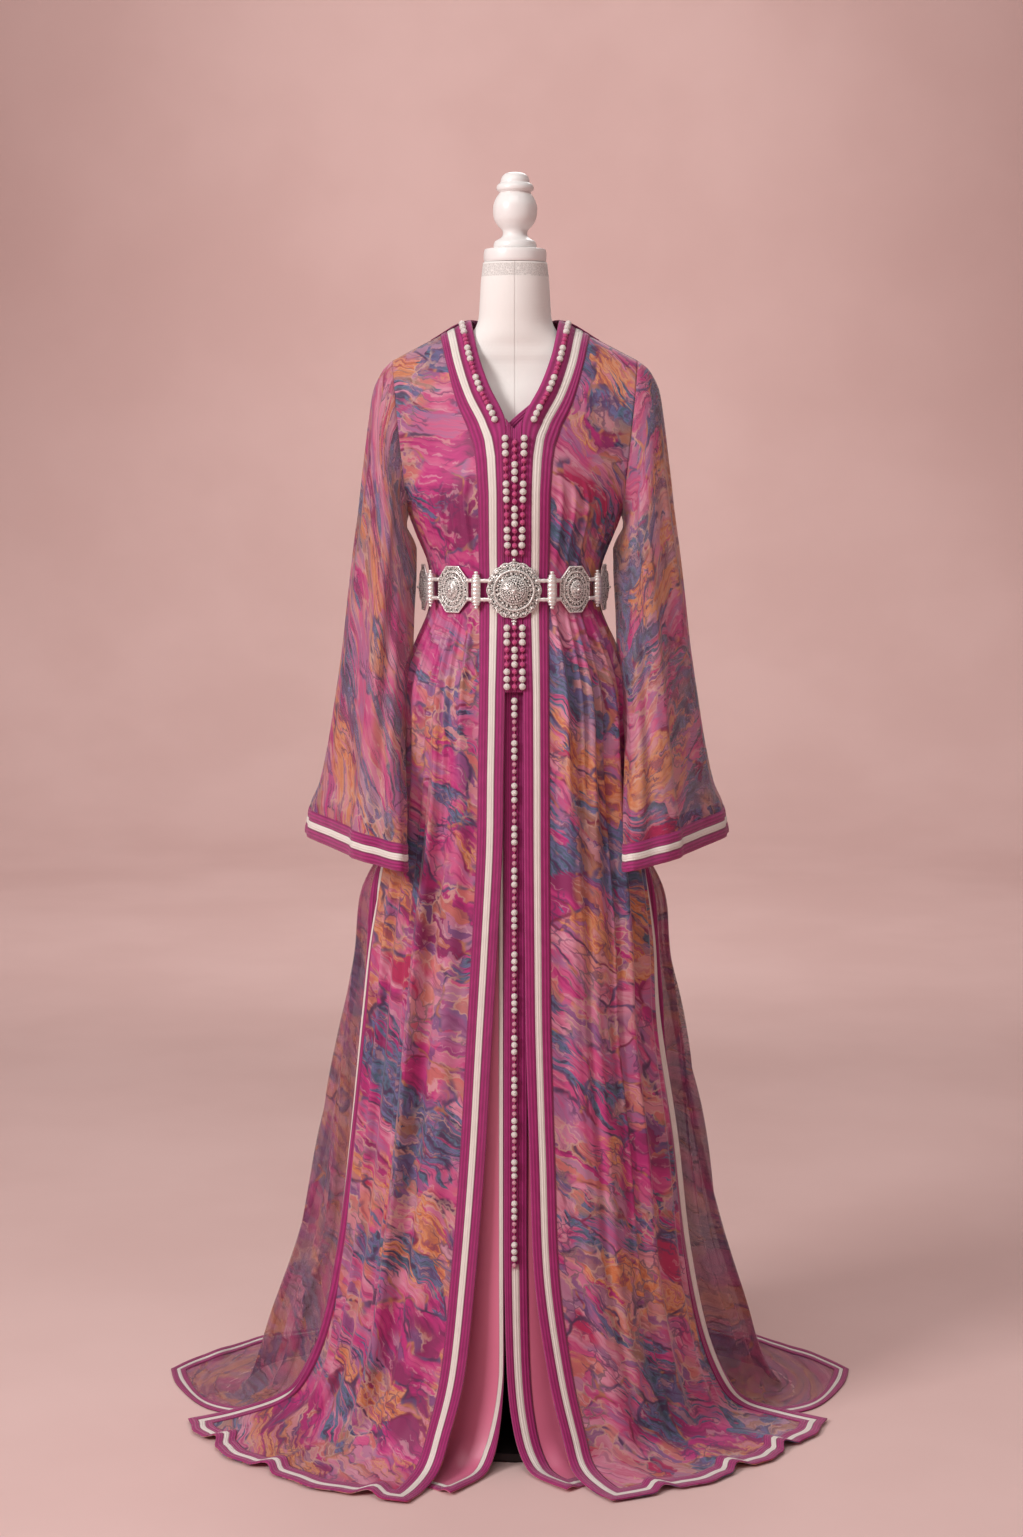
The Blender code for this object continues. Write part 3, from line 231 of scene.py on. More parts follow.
def outwards(mesh):
    """Turns a closed mesh's faces outwards."""
    work = bmesh.new()
    work.from_mesh(mesh)
    bmesh.ops.recalc_face_normals(work, faces=work.faces)
    if work.calc_volume(signed=True) < 0:
        bmesh.ops.reverse_faces(work, faces=work.faces)
    work.to_mesh(mesh)
    work.free()


def between(rows, place):
    """A table's values at a fractional row, along a smooth curve through its rows."""
    last = len(rows) - 1
    place = min(max(place, 0.0), last)
    i = min(int(place), last - 1)
    t = place - i
    a = np.array(rows[max(i - 1, 0)], float)
    b = np.array(rows[i], float)
    c = np.array(rows[i + 1], float)
    d = np.array(rows[min(i + 2, last)], float)
    return 0.5 * (2 * b + (c - a) * t + (2 * a - 5 * b + 4 * c - d) * t**2 + (3 * b - a - 3 * c + d) * t**3)


def loft(name, rings, look, replaced):
    """A solid through rings of equally many points, closed at both ends."""
    rings = np.asarray(rings)
    count, sides = rings.shape[:2]
    faces = [tuple(range(sides))]
    for k in range(count - 1):
        for s in range(sides):
            t = (s + 1) % sides
            faces.append((k * sides + s, (k + 1) * sides + s, (k + 1) * sides + t, k * sides + t))
    faces.append(tuple((count - 1) * sides + s for s in range(sides)))
    return piece(name, rings.reshape(-1, 3), faces, look, replaced)


# Columns: height, half width, front, back, roundness
FORM_SECTIONS = (
    (0.8600, 0.1220, 0.1000, 0.1000, 2.0),
    (0.8800, 0.1290, 0.1070, 0.1080, 2.1),
    (0.9500, 0.1300, 0.1110, 0.1120, 2.1),
    (1.0200, 0.1280, 0.1080, 0.1090, 2.1),
    (1.0950, 0.1240, 0.1020, 0.1030, 2.0),
    (1.1700, 0.1120, 0.0900, 0.0910, 2.0),
    (1.2370, 0.1040, 0.0870, 0.0870, 2.0),
    (1.3000, 0.1120, 0.0910, 0.0850, 2.0),
    (1.3600, 0.1230, 0.0970, 0.0860, 2.0),
    (1.4100, 0.1230, 0.0900, 0.0870, 2.0),
    (1.4600, 0.1190, 0.0740, 0.0830, 2.0),
    (1.5000, 0.1200, 0.0600, 0.0710, 2.0),
    (1.5250, 0.1280, 0.0460, 0.0580, 2.0),
    (1.5450, 0.1330, 0.0400, 0.0520, 2.0),
    (1.5585, 0.1140, 0.0400, 0.0500, 2.0),
    (1.5722, 0.0862, 0.0392, 0.0480, 2.0),
    (1.5860, 0.0650, 0.0412, 0.0470, 2.0),
    (1.6050, 0.0525, 0.0420, 0.0440, 2.0),
    (1.6350, 0.0495, 0.0440, 0.0450, 2.0),
    (1.6600, 0.0480, 0.0440, 0.0450, 2.0),
    (1.6870, 0.0450, 0.0420, 0.0430, 2.0),
)
FORM_TURNS = 96
LACE_LOW = 1.668
LACE_HIGH = 1.684

jersey = Look("white_jersey", Roughness=0.82, Sheen_Weight=0.25, Sheen_Roughness=0.4)
spot = jersey.place()
jx, jy, jz = jersey.parts(spot)
lace_zone = jz.step(LACE_LOW - 0.001, LACE_LOW) * (1 - jz.step(LACE_HIGH, LACE_HIGH + 0.001))
lace_web = jersey.node(
    "TexVoronoi", {"feature": "DISTANCE_TO_EDGE"}, {"Vector": spot, "Scale": 330.0}
).step(0.06, 0.14)
ribs = (jx + jy).wave(620) * 0.5 + jz.wave(520) * 0.5
seam = 1 - jx.size().step(0.0004, 0.0016)
cloudy = jersey.noise(spot, 9.0, 3.0)
white = jersey.mix(cloudy, (0.80, 0.775, 0.745), (0.86, 0.84, 0.815))
white = jersey.mix(lace_zone * lace_web, white, (0.66, 0.64, 0.615))
white = jersey.mix(seam * 0.35, white, (0.55, 0.52, 0.50))
white_jersey = jersey.finish(
    ribs * 0.25 - seam * 1.2 - lace_zone * lace_web * 1.5, 0.0005, 0.7, Base_Color=white
)

form_rings = []
for place in np.linspace(0, len(FORM_SECTIONS) - 1, 121):
    height, half, front, back, roundness = between(FORM_SECTIONS, place)
    ring = []
    for s in range(FORM_TURNS):
        c, d = math.cos(2 * math.pi * s / FORM_TURNS), math.sin(2 * math.pi * s / FORM_TURNS)
        depth = back if d > 0 else front
        x = half * math.copysign(abs(c) ** (2 / roundness), c)
        ring.append((x, depth * math.copysign(abs(d) ** (2 / roundness), d), height))
    form_rings.append(ring)
loft("form_jersey", form_rings, white_jersey, ["form_torso"])

paint = Look("white_painted_wood", Roughness=0.34, Coat_Weight=0.25, Coat_Roughness=0.2)
spot = paint.place()
grain = paint.noise(paint.node("Mapping", None, {"Vector": spot, "Scale": (1.0, 1.0, 0.08)}), 260.0, 3.0)
marks = paint.noise(spot, 24.0, 4.0)
painted_wood = paint.finish(
    grain,
    0.0002,
    0.5,
    Base_Color=paint.mix(marks, (0.80, 0.785, 0.77), (0.88, 0.87, 0.86)),
    Roughness=marks * 0.16 + 0.28,
)

# Columns: radius, height
CAP = (
    (0.0300, 1.6876), (0.0412, 1.6876), (0.0432, 1.6890), (0.0440, 1.6925), (0.0440, 1.6995),
    (0.0433, 1.7035), (0.0415, 1.7058), (0.0300, 1.7062),
)
FINIAL = (
    (0.0290, 1.7068), (0.0300, 1.7085), (0.0300, 1.7120), (0.0282, 1.7165), (0.0215, 1.7205),
    (0.0180, 1.7240), (0.0172, 1.7280), (0.0184, 1.7325), (0.0240, 1.7380), (0.0290, 1.7460),
    (0.0308, 1.7560), (0.0303, 1.7670), (0.0262, 1.7770), (0.0218, 1.7832), (0.0232, 1.7850),
    (0.0256, 1.7872), (0.0258, 1.7915), (0.0236, 1.7950), (0.0206, 1.7972), (0.0198, 1.8015),
    (0.0168, 1.8072), (0.0110, 1.8106), (0.0030, 1.8118),
)
for name, profile, node in (("neck_cap", CAP, "form_neck_cap"), ("finial", FINIAL, "form_finial")):
    rings = []
    for place in np.linspace(0, len(profile) - 1, 6 * len(profile)):
        radius, height = between(profile, place)
        height = min(max(height, profile[0][1]), profile[-1][1])
        rings.append([
            (radius * math.cos(2 * math.pi * s / 64), radius * math.sin(2 * math.pi * s / 64), height)
            for s in range(64)
        ])
    loft(name, rings, painted_wood, [node])

# The pole and its round foot are dark waxed steel, and are out of sight under the cloth.
steel = Look("dark_waxed_steel", Metallic=0.4)
haze = steel.noise(steel.place(), 40.0, 3.0)
waxed_steel = steel.finish(
    haze, 0.0002, 0.4, Base_Color=steel.mix(haze, (0.020, 0.013, 0.014), (0.045, 0.030, 0.030)),
    Roughness=haze * 0.2 + 0.5
)
for node in ("form_pole", "form_base"):
    frame["nodes"][node].material_slots[0].material = waxed_steel

# Inner dress: plain pink satin without sleeves, cut as two fronts that lap and one back. It is
# seamed at the shoulders and sides, hangs straight and lies in soft creases on the floor.


def fold_lift(folds, across, row):
    """How far a table of folds lifts the cloth, for arrays of places across and rows down."""
    lift = np.zeros(np.broadcast(across, row).shape)
    for place, half, height, first, full, last in folds:
        near = np.clip(np.abs(across - place) / half, 0, 1)
        rise = np.clip(np.minimum((row - first) / (full - first), (last - row) / 1.5), 0, 1)
        lift += height * rise * (0.5 + 0.5 * np.cos(np.pi * near))
    return lift


def front_line(table, row, count=48):
    """Points along one row of a front panel, from its edge to its side."""
    ex, ey, ez, sx, sy, sz, bow = between(table, row)
    u = np.linspace(0, 1, count + 1)
    arc_x = ex + (sx - ex) * np.sin(u * math.pi / 2)
    arc_y = ey + (sy - ey) * (1 - np.cos(u * math.pi / 2))
    x = (1 - bow) * (ex + (sx - ex) * u) + bow * arc_x
    y = (1 - bow) * (ey + (sy - ey) * u) + bow * arc_y
    return np.stack((x, y, ez + (sz - ez) * u), axis=1)


def back_line(table, row, right_share=1.0, count=48):
    """Points along one row of a back panel, from the left side round to the right."""
    values = between(table, row)
    side, flank, blade = values[0:3], values[3:6], values[6:9]
    centre = np.array((0.0, values[9], values[10]))
    mirror = np.array((-(right_share if row > 12 else 1.0), 1.0, 1.0))
    knots = [side, flank, blade, centre, blade * mirror, flank * mirror, side * mirror]
    points = np.array([between(knots, 6 * k / count) for k in range(count + 1)])
    if row < 12:
        points[:, 1] = np.maximum(points[:, 1], side[1])
    return points


def lengths_along(points):
    """Running length along a row of points."""
    steps = np.linalg.norm(np.diff(points, axis=0), axis=1)
    return np.concatenate(([0.0], np.cumsum(steps)))


def at_lengths(points, wanted):
    """Points at given lengths along a row of points."""
    along = lengths_along(points)
    return np.stack([np.interp(wanted, along, points[:, k]) for k in range(points.shape[1])], axis=1)


def outward(grid, sign, loop=False):
    """Outward directions at every point of a grid."""
    if loop:
        around = np.roll(grid, -1, axis=1) - np.roll(grid, 1, axis=1)
    else:
        around = np.gradient(grid, axis=1)
    cross = np.cross(around, np.gradient(grid, axis=0)) * sign
    return cross / np.maximum(np.linalg.norm(cross, axis=2, keepdims=True), 1e-12)


class Panel:
    """A cloth panel as a grid of points, with its outward directions and its flat measures.

    lines gives the points of one row and the lengths at which its columns cross it. Every
    column is then laid out again down its own length, so that a hem band keeps its width.
    """

    def __init__(self, lines, last_row, sign, folds, step, band, band_rows, loop=False, first_row=0.0):
        rows = np.linspace(first_row, last_row, int((last_row - first_row) * 12) + 1)
        laid = [lines(row) for row in rows]
        dense = np.array([points for points, shares in laid])
        shares = np.array([share for points, share in laid])
        out = outward(dense, sign, loop) * np.array((1.0, 1.0, 0.0 if not loop else 1.0))
        lift = sum(fold_lift(table, shares, rows[:, None]) for table in folds)
        dense = dense + out * (lift if np.ndim(lift) else 0.0)[..., None] if folds else dense
        columns = []
        longest = max(lengths_along(dense[:, j])[-1] for j in range(dense.shape[1]))
        count = int((longest - band) / step)
        for j in range(dense.shape[1]):
            column = np.column_stack((dense[:, j], rows, shares[:, j]))
            along = lengths_along(dense[:, j])
            places = np.linspace(0, along[-1] - band, count + 1)
            if band_rows:
                places = np.concatenate((places[:-1], along[-1] - band_places(band)[::-1]))
            fine = np.stack([np.interp(places, along, column[:, k]) for k in range(5)], axis=1)
            columns.append(fine)
        both = np.stack(columns, axis=1)
        self.grid, self.row, self.share = both[..., :3], both[..., 3], both[..., 4]
        self.sign, self.loop = sign, loop
        self.settle()

    def settle(self):
        """Works out the directions and the flat measures again after a change of points."""
        self.out = outward(self.grid, self.sign, self.loop)
        across = np.linalg.norm(np.diff(self.grid, axis=1), axis=2)
        down = np.linalg.norm(np.diff(self.grid, axis=0), axis=2)
        self.across = np.concatenate((np.zeros((len(self.grid), 1)), np.cumsum(across, axis=1)), axis=1)
        self.down = np.concatenate((np.zeros((1, self.grid.shape[1])), np.cumsum(down, axis=0)))


def shell(name, grid, top, bottom, look, replaced, uv, keep=None, values=None, loop=False):
    """A closed thin wall over the kept faces of a grid, between its top and bottom points."""
    rows, columns = grid.shape[:2]
    across = columns if loop else columns - 1
    i, j = np.meshgrid(np.arange(rows - 1), np.arange(across), indexing="ij")
    k = (j + 1) % columns
    quads = np.stack(
        (i * columns + j, i * columns + k, (i + 1) * columns + k, (i + 1) * columns + j), axis=-1
    )
    quads = quads[keep] if keep is not None else quads.reshape(-1, 4)
    used = np.unique(quads)
    new = np.zeros(rows * columns, int)
    new[used] = np.arange(len(used))
    quads = new[quads]
    edges = np.concatenate([quads[:, (a, (a + 1) % 4)] for a in range(4)])
    keys = np.sort(edges, axis=1)
    _, first, counts = np.unique(keys, axis=0, return_index=True, return_counts=True)
    rim = edges[first[counts == 1]]
    size = len(used)
    faces = np.concatenate((quads, quads[:, ::-1] + size))
    sides = np.stack((rim[:, 1], rim[:, 0], rim[:, 0] + size, rim[:, 1] + size), axis=1)
    points = np.concatenate((top.reshape(-1, 3)[used], bottom.reshape(-1, 3)[used]))
    flat = np.asarray(uv).reshape(-1, 2)[used]
    tagged = {key: np.tile(np.asarray(data).reshape(-1)[used], 2) for key, data in (values or {}).items()}
    every = np.concatenate((faces, sides))
    return piece(name, points, every, look, replaced, uv=np.concatenate((flat, flat)), values=tagged)


def cloth(name, panel, look, replaced, under=None, thickness=0.0009, shift=(0.0, 0.0)):
    """A panel's own wall, with its flat measures as the UV map, two metres to a side.

    under is the look of the wall's inner face and rim, where it differs.
    """
    uv = np.stack((panel.across * -panel.sign + shift[0], panel.down + shift[1]), axis=-1) / 2
    thing = shell(
        name, panel.grid, panel.grid, panel.grid - panel.out * thickness, look, replaced,
        uv, loop=panel.loop
    )
    if under:
        rows, columns = panel.grid.shape[:2]
        outer_faces = (rows - 1) * (columns if panel.loop else columns - 1)
        thing.data.materials.append(under)
        inner_face = np.arange(len(thing.data.polygons)) >= outer_faces
        thing.data.polygons.foreach_set("material_index", inner_face.astype(np.int32))


STRIPES = (0.37, 0.63)
STRIPE_STEPS = 4
BAND_STEPS = 3 * STRIPE_STEPS


def band_places(width, stripes=STRIPES):
    """Places across a braid band, with even steps between the borders of its three stripes."""
    borders = (0.0, stripes[0], stripes[1], 1.0)
    return np.concatenate([[0.0]] + [
        np.linspace(a, b, STRIPE_STEPS + 1)[1:] for a, b in zip(borders, borders[1:])
    ]) * width


def front_panel(table, folds, last_row, width_of, stripes_of, side_band, middle, step, hem):
    """A front panel, with columns over its front band, its middle and its side band."""

    def lines(row):
        points = front_line(table, row)
        length = lengths_along(points)[-1]
        width = width_of(row)
        wanted = np.concatenate((
            band_places(width, stripes_of(row)),
            np.linspace(width, length - side_band, middle + 1)[1:-1],
            length - band_places(side_band)[::-1],
        ))
        return at_lengths(points, wanted), wanted / length

    sign = 1.0 if table[8][3] < 0 else -1.0
    return Panel(lines, last_row, sign, folds, step, hem, BAND_STEPS)


def back_panel(table, folds, last_row, side_band, middle, step, hem, right_share=1.0):
    """A back panel, with columns over its side bands and its middle."""

    def lines(row):
        points = back_line(table, row, right_share)
        length = lengths_along(points)[-1]
        wanted = np.concatenate((
            band_places(side_band),
            np.linspace(side_band, length - side_band, middle + 1)[1:-1],
            length - band_places(side_band)[::-1],
        ))
        return at_lengths(points, wanted), wanted / length

    return Panel(lines, last_row, 1.0, folds, step, hem, BAND_STEPS)


# Columns: edge x y z, side x y z, bow of the section
INNER_LEFT = (
    (-0.0740, -0.0006, 1.5972, -0.1480, -0.0006, 1.5577, 0.00),
    (-0.0700, -0.0200, 1.5800, -0.1480, -0.0220, 1.5460, 0.10),
    (-0.0610, -0.0440, 1.5500, -0.1440, -0.0440, 1.5050, 0.20),
    (-0.0460, -0.0680, 1.5080, -0.1400, -0.0520, 1.4380, 0.35),
    (-0.0158, -0.0920, 1.4560, -0.1400, -0.0420, 1.3780, 0.60),
    (-0.0158, -0.1020, 1.4200, -0.1415, -0.0280, 1.3460, 0.90),
    (-0.0158, -0.1090, 1.3700, -0.1430, -0.0006, 1.3250, 1.00),
    (-0.0158, -0.1000, 1.2800, -0.1190, -0.0006, 1.2760, 1.00),
    (-0.0158, -0.0965, 1.2370, -0.1135, -0.0006, 1.2370, 1.00),
    (-0.0158, -0.1000, 1.1920, -0.1190, -0.0006, 1.1960, 1.00),
    (-0.0158, -0.1190, 1.0950, -0.1410, -0.0006, 1.0950, 1.00),
    (-0.0158, -0.1285, 0.9800, -0.1440, -0.0006, 0.9800, 1.00),
    (-0.0158, -0.1330, 0.8740, -0.1560, 0.0050, 0.8740, 1.00),
    (-0.0158, -0.1385, 0.6110, -0.1680, 0.0250, 0.6110, 0.95),
    (-0.0158, -0.1420, 0.4400, -0.1760, 0.0350, 0.4400, 0.90),
    (-0.0158, -0.1490, 0.2740, -0.1880, 0.0450, 0.2740, 0.85),
    (-0.0160, -0.1580, 0.1300, -0.2120, 0.0560, 0.1300, 0.75),
    (-0.0220, -0.1720, 0.0550, -0.2330, 0.0700, 0.0550, 0.70),
    (-0.0330, -0.1900, 0.0150, -0.2550, 0.0800, 0.0150, 0.60),
    (-0.0500, -0.2200, 0.0018, -0.2750, 0.0850, 0.0018, 0.50),
    (-0.0880, -0.2720, 0.0018, -0.3020, 0.0900, 0.0018, 0.35),
)
INNER_RIGHT = (
    (0.0740, -0.0006, 1.5972, 0.1480, -0.0006, 1.5577, 0.00),
    (0.0700, -0.0200, 1.5800, 0.1480, -0.0220, 1.5460, 0.10),
    (0.0610, -0.0440, 1.5500, 0.1440, -0.0440, 1.5050, 0.20),
    (0.0400, -0.0690, 1.5080, 0.1400, -0.0520, 1.4380, 0.35),
    (-0.0153, -0.0925, 1.4560, 0.1400, -0.0420, 1.3780, 0.60),
    (-0.0153, -0.1020, 1.4200, 0.1415, -0.0280, 1.3460, 0.90),
    (-0.0153, -0.1090, 1.3700, 0.1430, -0.0006, 1.3250, 1.00),
    (-0.0153, -0.1000, 1.2800, 0.1190, -0.0006, 1.2760, 1.00),
    (-0.0153, -0.0965, 1.2370, 0.1135, -0.0006, 1.2370, 1.00),
    (-0.0153, -0.1000, 1.1920, 0.1190, -0.0006, 1.1960, 1.00),
    (-0.0153, -0.1190, 1.0950, 0.1410, -0.0006, 1.0950, 1.00),
    (-0.0153, -0.1285, 0.9800, 0.1440, -0.0006, 0.9800, 1.00),
    (-0.0153, -0.1330, 0.8740, 0.1560, 0.0050, 0.8740, 1.00),
    (-0.0153, -0.1385, 0.6110, 0.1680, 0.0250, 0.6110, 0.95),
    (-0.0153, -0.1420, 0.4400, 0.1760, 0.0350, 0.4400, 0.90),
    (-0.0150, -0.1490, 0.2740, 0.1880, 0.0450, 0.2740, 0.85),
    (-0.0110, -0.1580, 0.1300, 0.2120, 0.0560, 0.1300, 0.75),
    (-0.0020, -0.1710, 0.0550, 0.2330, 0.0700, 0.0550, 0.70),
    (0.0120, -0.1880, 0.0150, 0.2550, 0.0800, 0.0150, 0.60),
    (0.0300, -0.2150, 0.0018, 0.2750, 0.0850, 0.0018, 0.50),
    (0.0700, -0.2600, 0.0018, 0.3020, 0.0900, 0.0018, 0.35),
)
# Left half. Columns: side x y z, flank x y z, shoulder blade x y z, centre y z
INNER_BACK = (
    (-0.1480, 0.0006, 1.5577, -0.1150, 0.0010, 1.5752, -0.0760, 0.0020, 1.5957, 0.0740, 1.5800),
    (-0.1480, 0.0220, 1.5460, -0.1150, 0.0300, 1.5630, -0.0760, 0.0420, 1.5780, 0.0800, 1.5600),
    (-0.1440, 0.0440, 1.5050, -0.1150, 0.0620, 1.5200, -0.0680, 0.0770, 1.5330, 0.0890, 1.5250),
    (-0.1400, 0.0520, 1.4380, -0.1160, 0.0770, 1.4460, -0.0680, 0.0920, 1.4540, 0.0990, 1.4600),
    (-0.1400, 0.0420, 1.3780, -0.1190, 0.0730, 1.3850, -0.0700, 0.0930, 1.3940, 0.1010, 1.4000),
    (-0.1415, 0.0280, 1.3460, -0.1220, 0.0600, 1.3480, -0.0730, 0.0890, 1.3560, 0.0990, 1.3600),
    (-0.1430, 0.0006, 1.3250, -0.1180, 0.0530, 1.3260, -0.0650, 0.0865, 1.3270, 0.0970, 1.3280),
    (-0.1190, 0.0006, 1.2760, -0.0975, 0.0565, 1.2760, -0.0503, 0.0895, 1.2760, 0.0990, 1.2760),
    (-0.1135, 0.0006, 1.2370, -0.0930, 0.0555, 1.2370, -0.0480, 0.0875, 1.2370, 0.0965, 1.2370),
    (-0.1190, 0.0006, 1.1960, -0.0975, 0.0570, 1.1960, -0.0503, 0.0905, 1.1960, 0.1000, 1.1960),
    (-0.1410, 0.0006, 1.0950, -0.1155, 0.0680, 1.0950, -0.0595, 0.1080, 1.0950, 0.1190, 1.0950),
    (-0.1440, 0.0006, 0.9800, -0.1200, 0.0760, 0.9800, -0.0640, 0.1190, 0.9800, 0.1290, 0.9800),
    (-0.1560, 0.0056, 0.8740, -0.1360, 0.0780, 0.8740, -0.0740, 0.1230, 0.8740, 0.1340, 0.8740),
    (-0.1680, 0.0256, 0.6110, -0.1460, 0.1020, 0.6110, -0.0790, 0.1480, 0.6110, 0.1600, 0.6110),
    (-0.1760, 0.0356, 0.4400, -0.1540, 0.1190, 0.4400, -0.0830, 0.1670, 0.4400, 0.1790, 0.4400),
    (-0.1880, 0.0456, 0.2740, -0.1650, 0.1370, 0.2740, -0.0890, 0.1890, 0.2740, 0.2020, 0.2740),
    (-0.2120, 0.0566, 0.1300, -0.1850, 0.1550, 0.1300, -0.1000, 0.2130, 0.1300, 0.2290, 0.1300),
    (-0.2330, 0.0706, 0.0550, -0.2020, 0.1760, 0.0550, -0.1090, 0.2370, 0.0550, 0.2540, 0.0550),
    (-0.2550, 0.0806, 0.0150, -0.2200, 0.1950, 0.0150, -0.1180, 0.2600, 0.0150, 0.2780, 0.0150),
    (-0.2750, 0.0856, 0.0018, -0.2370, 0.2080, 0.0018, -0.1270, 0.2770, 0.0018, 0.2960, 0.0018),
    (-0.3020, 0.0906, 0.0018, -0.2590, 0.2240, 0.0018, -0.1380, 0.3000, 0.0018, 0.3200, 0.0018),
)
INNER_BAND = 0.034
# Columns: place across 0-1, half width, height, first row, full row, last row
INNER_FOLDS = (
    (0.24, 0.050, 0.0060, 13.6, 15.5, 20.6),
    (0.34, 0.045, 0.0040, 14.0, 15.4, 18.4),
    (0.42, 0.060, 0.0070, 13.0, 16.0, 19.9),
    (0.55, 0.070, 0.0060, 9.0, 14.0, 19.5),
    (0.68, 0.060, 0.0060, 9.0, 13.0, 19.5),
    (0.82, 0.080, 0.0050, 9.0, 12.0, 19.0),
    (0.20, 0.080, 0.0140, 17.3, 18.4, 19.9),
    (0.36, 0.070, 0.0160, 17.0, 18.2, 20.2),
    (0.29, 0.050, 0.0060, 16.2, 16.9, 18.6),
    (0.14, 0.032, 0.0080, 17.2, 18.2, 19.6),
    (0.25, 0.032, 0.0090, 16.8, 18.0, 19.5),
)
INNER_BACK_FOLDS = (
    (0.22, 0.06, 0.0050, 9.0, 13.0, 19.5),
    (0.36, 0.05, 0.0060, 9.0, 13.0, 19.5),
    (0.52, 0.06, 0.0050, 9.0, 13.0, 19.5),
    (0.66, 0.05, 0.0060, 9.0, 13.0, 19.5),
    (0.80, 0.06, 0.0050, 9.0, 13.0, 19.5),
)

satin = Look("pink_satin", Roughness=0.34, Sheen_Weight=0.35, Sheen_Roughness=0.35, Specular_IOR_Level=0.6)
flat = satin.place("cloth")
across, down, _ = satin.parts(flat)
threads = across.wave(2600) * 0.5 + down.wave(2200) * 0.5
tone = satin.noise(satin.node("Mapping", None, {"Vector": flat, "Scale": (9.0, 2.2, 1.0)}), 3.0, 3.0)
pink_satin = satin.finish(
    threads,
    0.00015,
    0.3,
    Base_Color=satin.mix(tone, (0.56, 0.115, 0.215), (0.70, 0.185, 0.30)),
    Roughness=tone * 0.12 + 0.28,
)


def inner_width(row):
    """Width of the inner dress's front band."""
    return INNER_BAND


def inner_stripes(side):
    """Borders of a front band's stripes by row. The left band is partly hidden by the right."""

    def borders(row):
        if side == "right":
            return 0.31, 0.62
        return float(np.interp(row, (16.0, 17.6, 20.0), (0.03, 0.30, 0.33))), float(
            np.interp(row, (16.0, 17.6, 20.0), (0.20, 0.50, 0.52))
        )

    return borders


# Flicks of the dress's corners on the floor. Columns: place across 0-1, half width, out, lift
INNER_RIPPLES = ((0.02, 0.045, 0.002, 0.0060), (0.13, 0.060, 0.005, 0.0), (0.26, 0.060, -0.005, 0.0040))
RIPPLE_REACH = 0.075


def ripple(panel, table, band):
    """Waves a panel's hem in and out over its band, and fades the waves out above it."""
    share = panel.share[-1]
    out, lift = np.zeros(len(share)), np.zeros(len(share))
    for place, half, way, rise in table:
        wave = 0.5 + 0.5 * np.cos(np.pi * np.clip(np.abs(share - place) / half, 0, 1))
        out, lift = out + way * wave, lift + rise * wave
    ahead = panel.grid[-1] - panel.grid[-4]
    ahead[:, 2] = 0.0
    ahead /= np.linalg.norm(ahead, axis=1, keepdims=True)
    move = ahead * out[:, None] + np.array((0.0, 0.0, 1.0)) * lift[:, None]
    height = panel.down[-1] - panel.down
    fade = np.clip(1 - (height - band) / RIPPLE_REACH, 0, 1)
    panel.grid = panel.grid + move * (fade**2 * (3 - 2 * fade))[..., None]
    panel.settle()


inner = {}
for side, table in (("left", INNER_LEFT), ("right", INNER_RIGHT)):
    inner[side] = front_panel(
        table, [INNER_FOLDS], 20.0, inner_width, inner_stripes(side), 0.03, 34, 0.010, INNER_BAND
    )
    ripple(inner[side], INNER_RIPPLES, INNER_BAND)
    cloth("inner_dress_" + side, inner[side], pink_satin, ["inner_front_" + side])
inner["back"] = back_panel(INNER_BACK, [INNER_BACK_FOLDS], 20.0, 0.03, 64, 0.012, INNER_BAND)
cloth("inner_dress_back", inner["back"], pink_satin, ["inner_back"])

# Outer kaftan: semi-sheer chiffon with a marbled print, two fronts, one back with a train and
# two long sleeves. It is gathered under the belt and slit at the sides from the hip down.
BAND = 0.036
SLEEVE_RIGHT_SHARE = 1.018
BACK_RIGHT_SHARE = 0.972
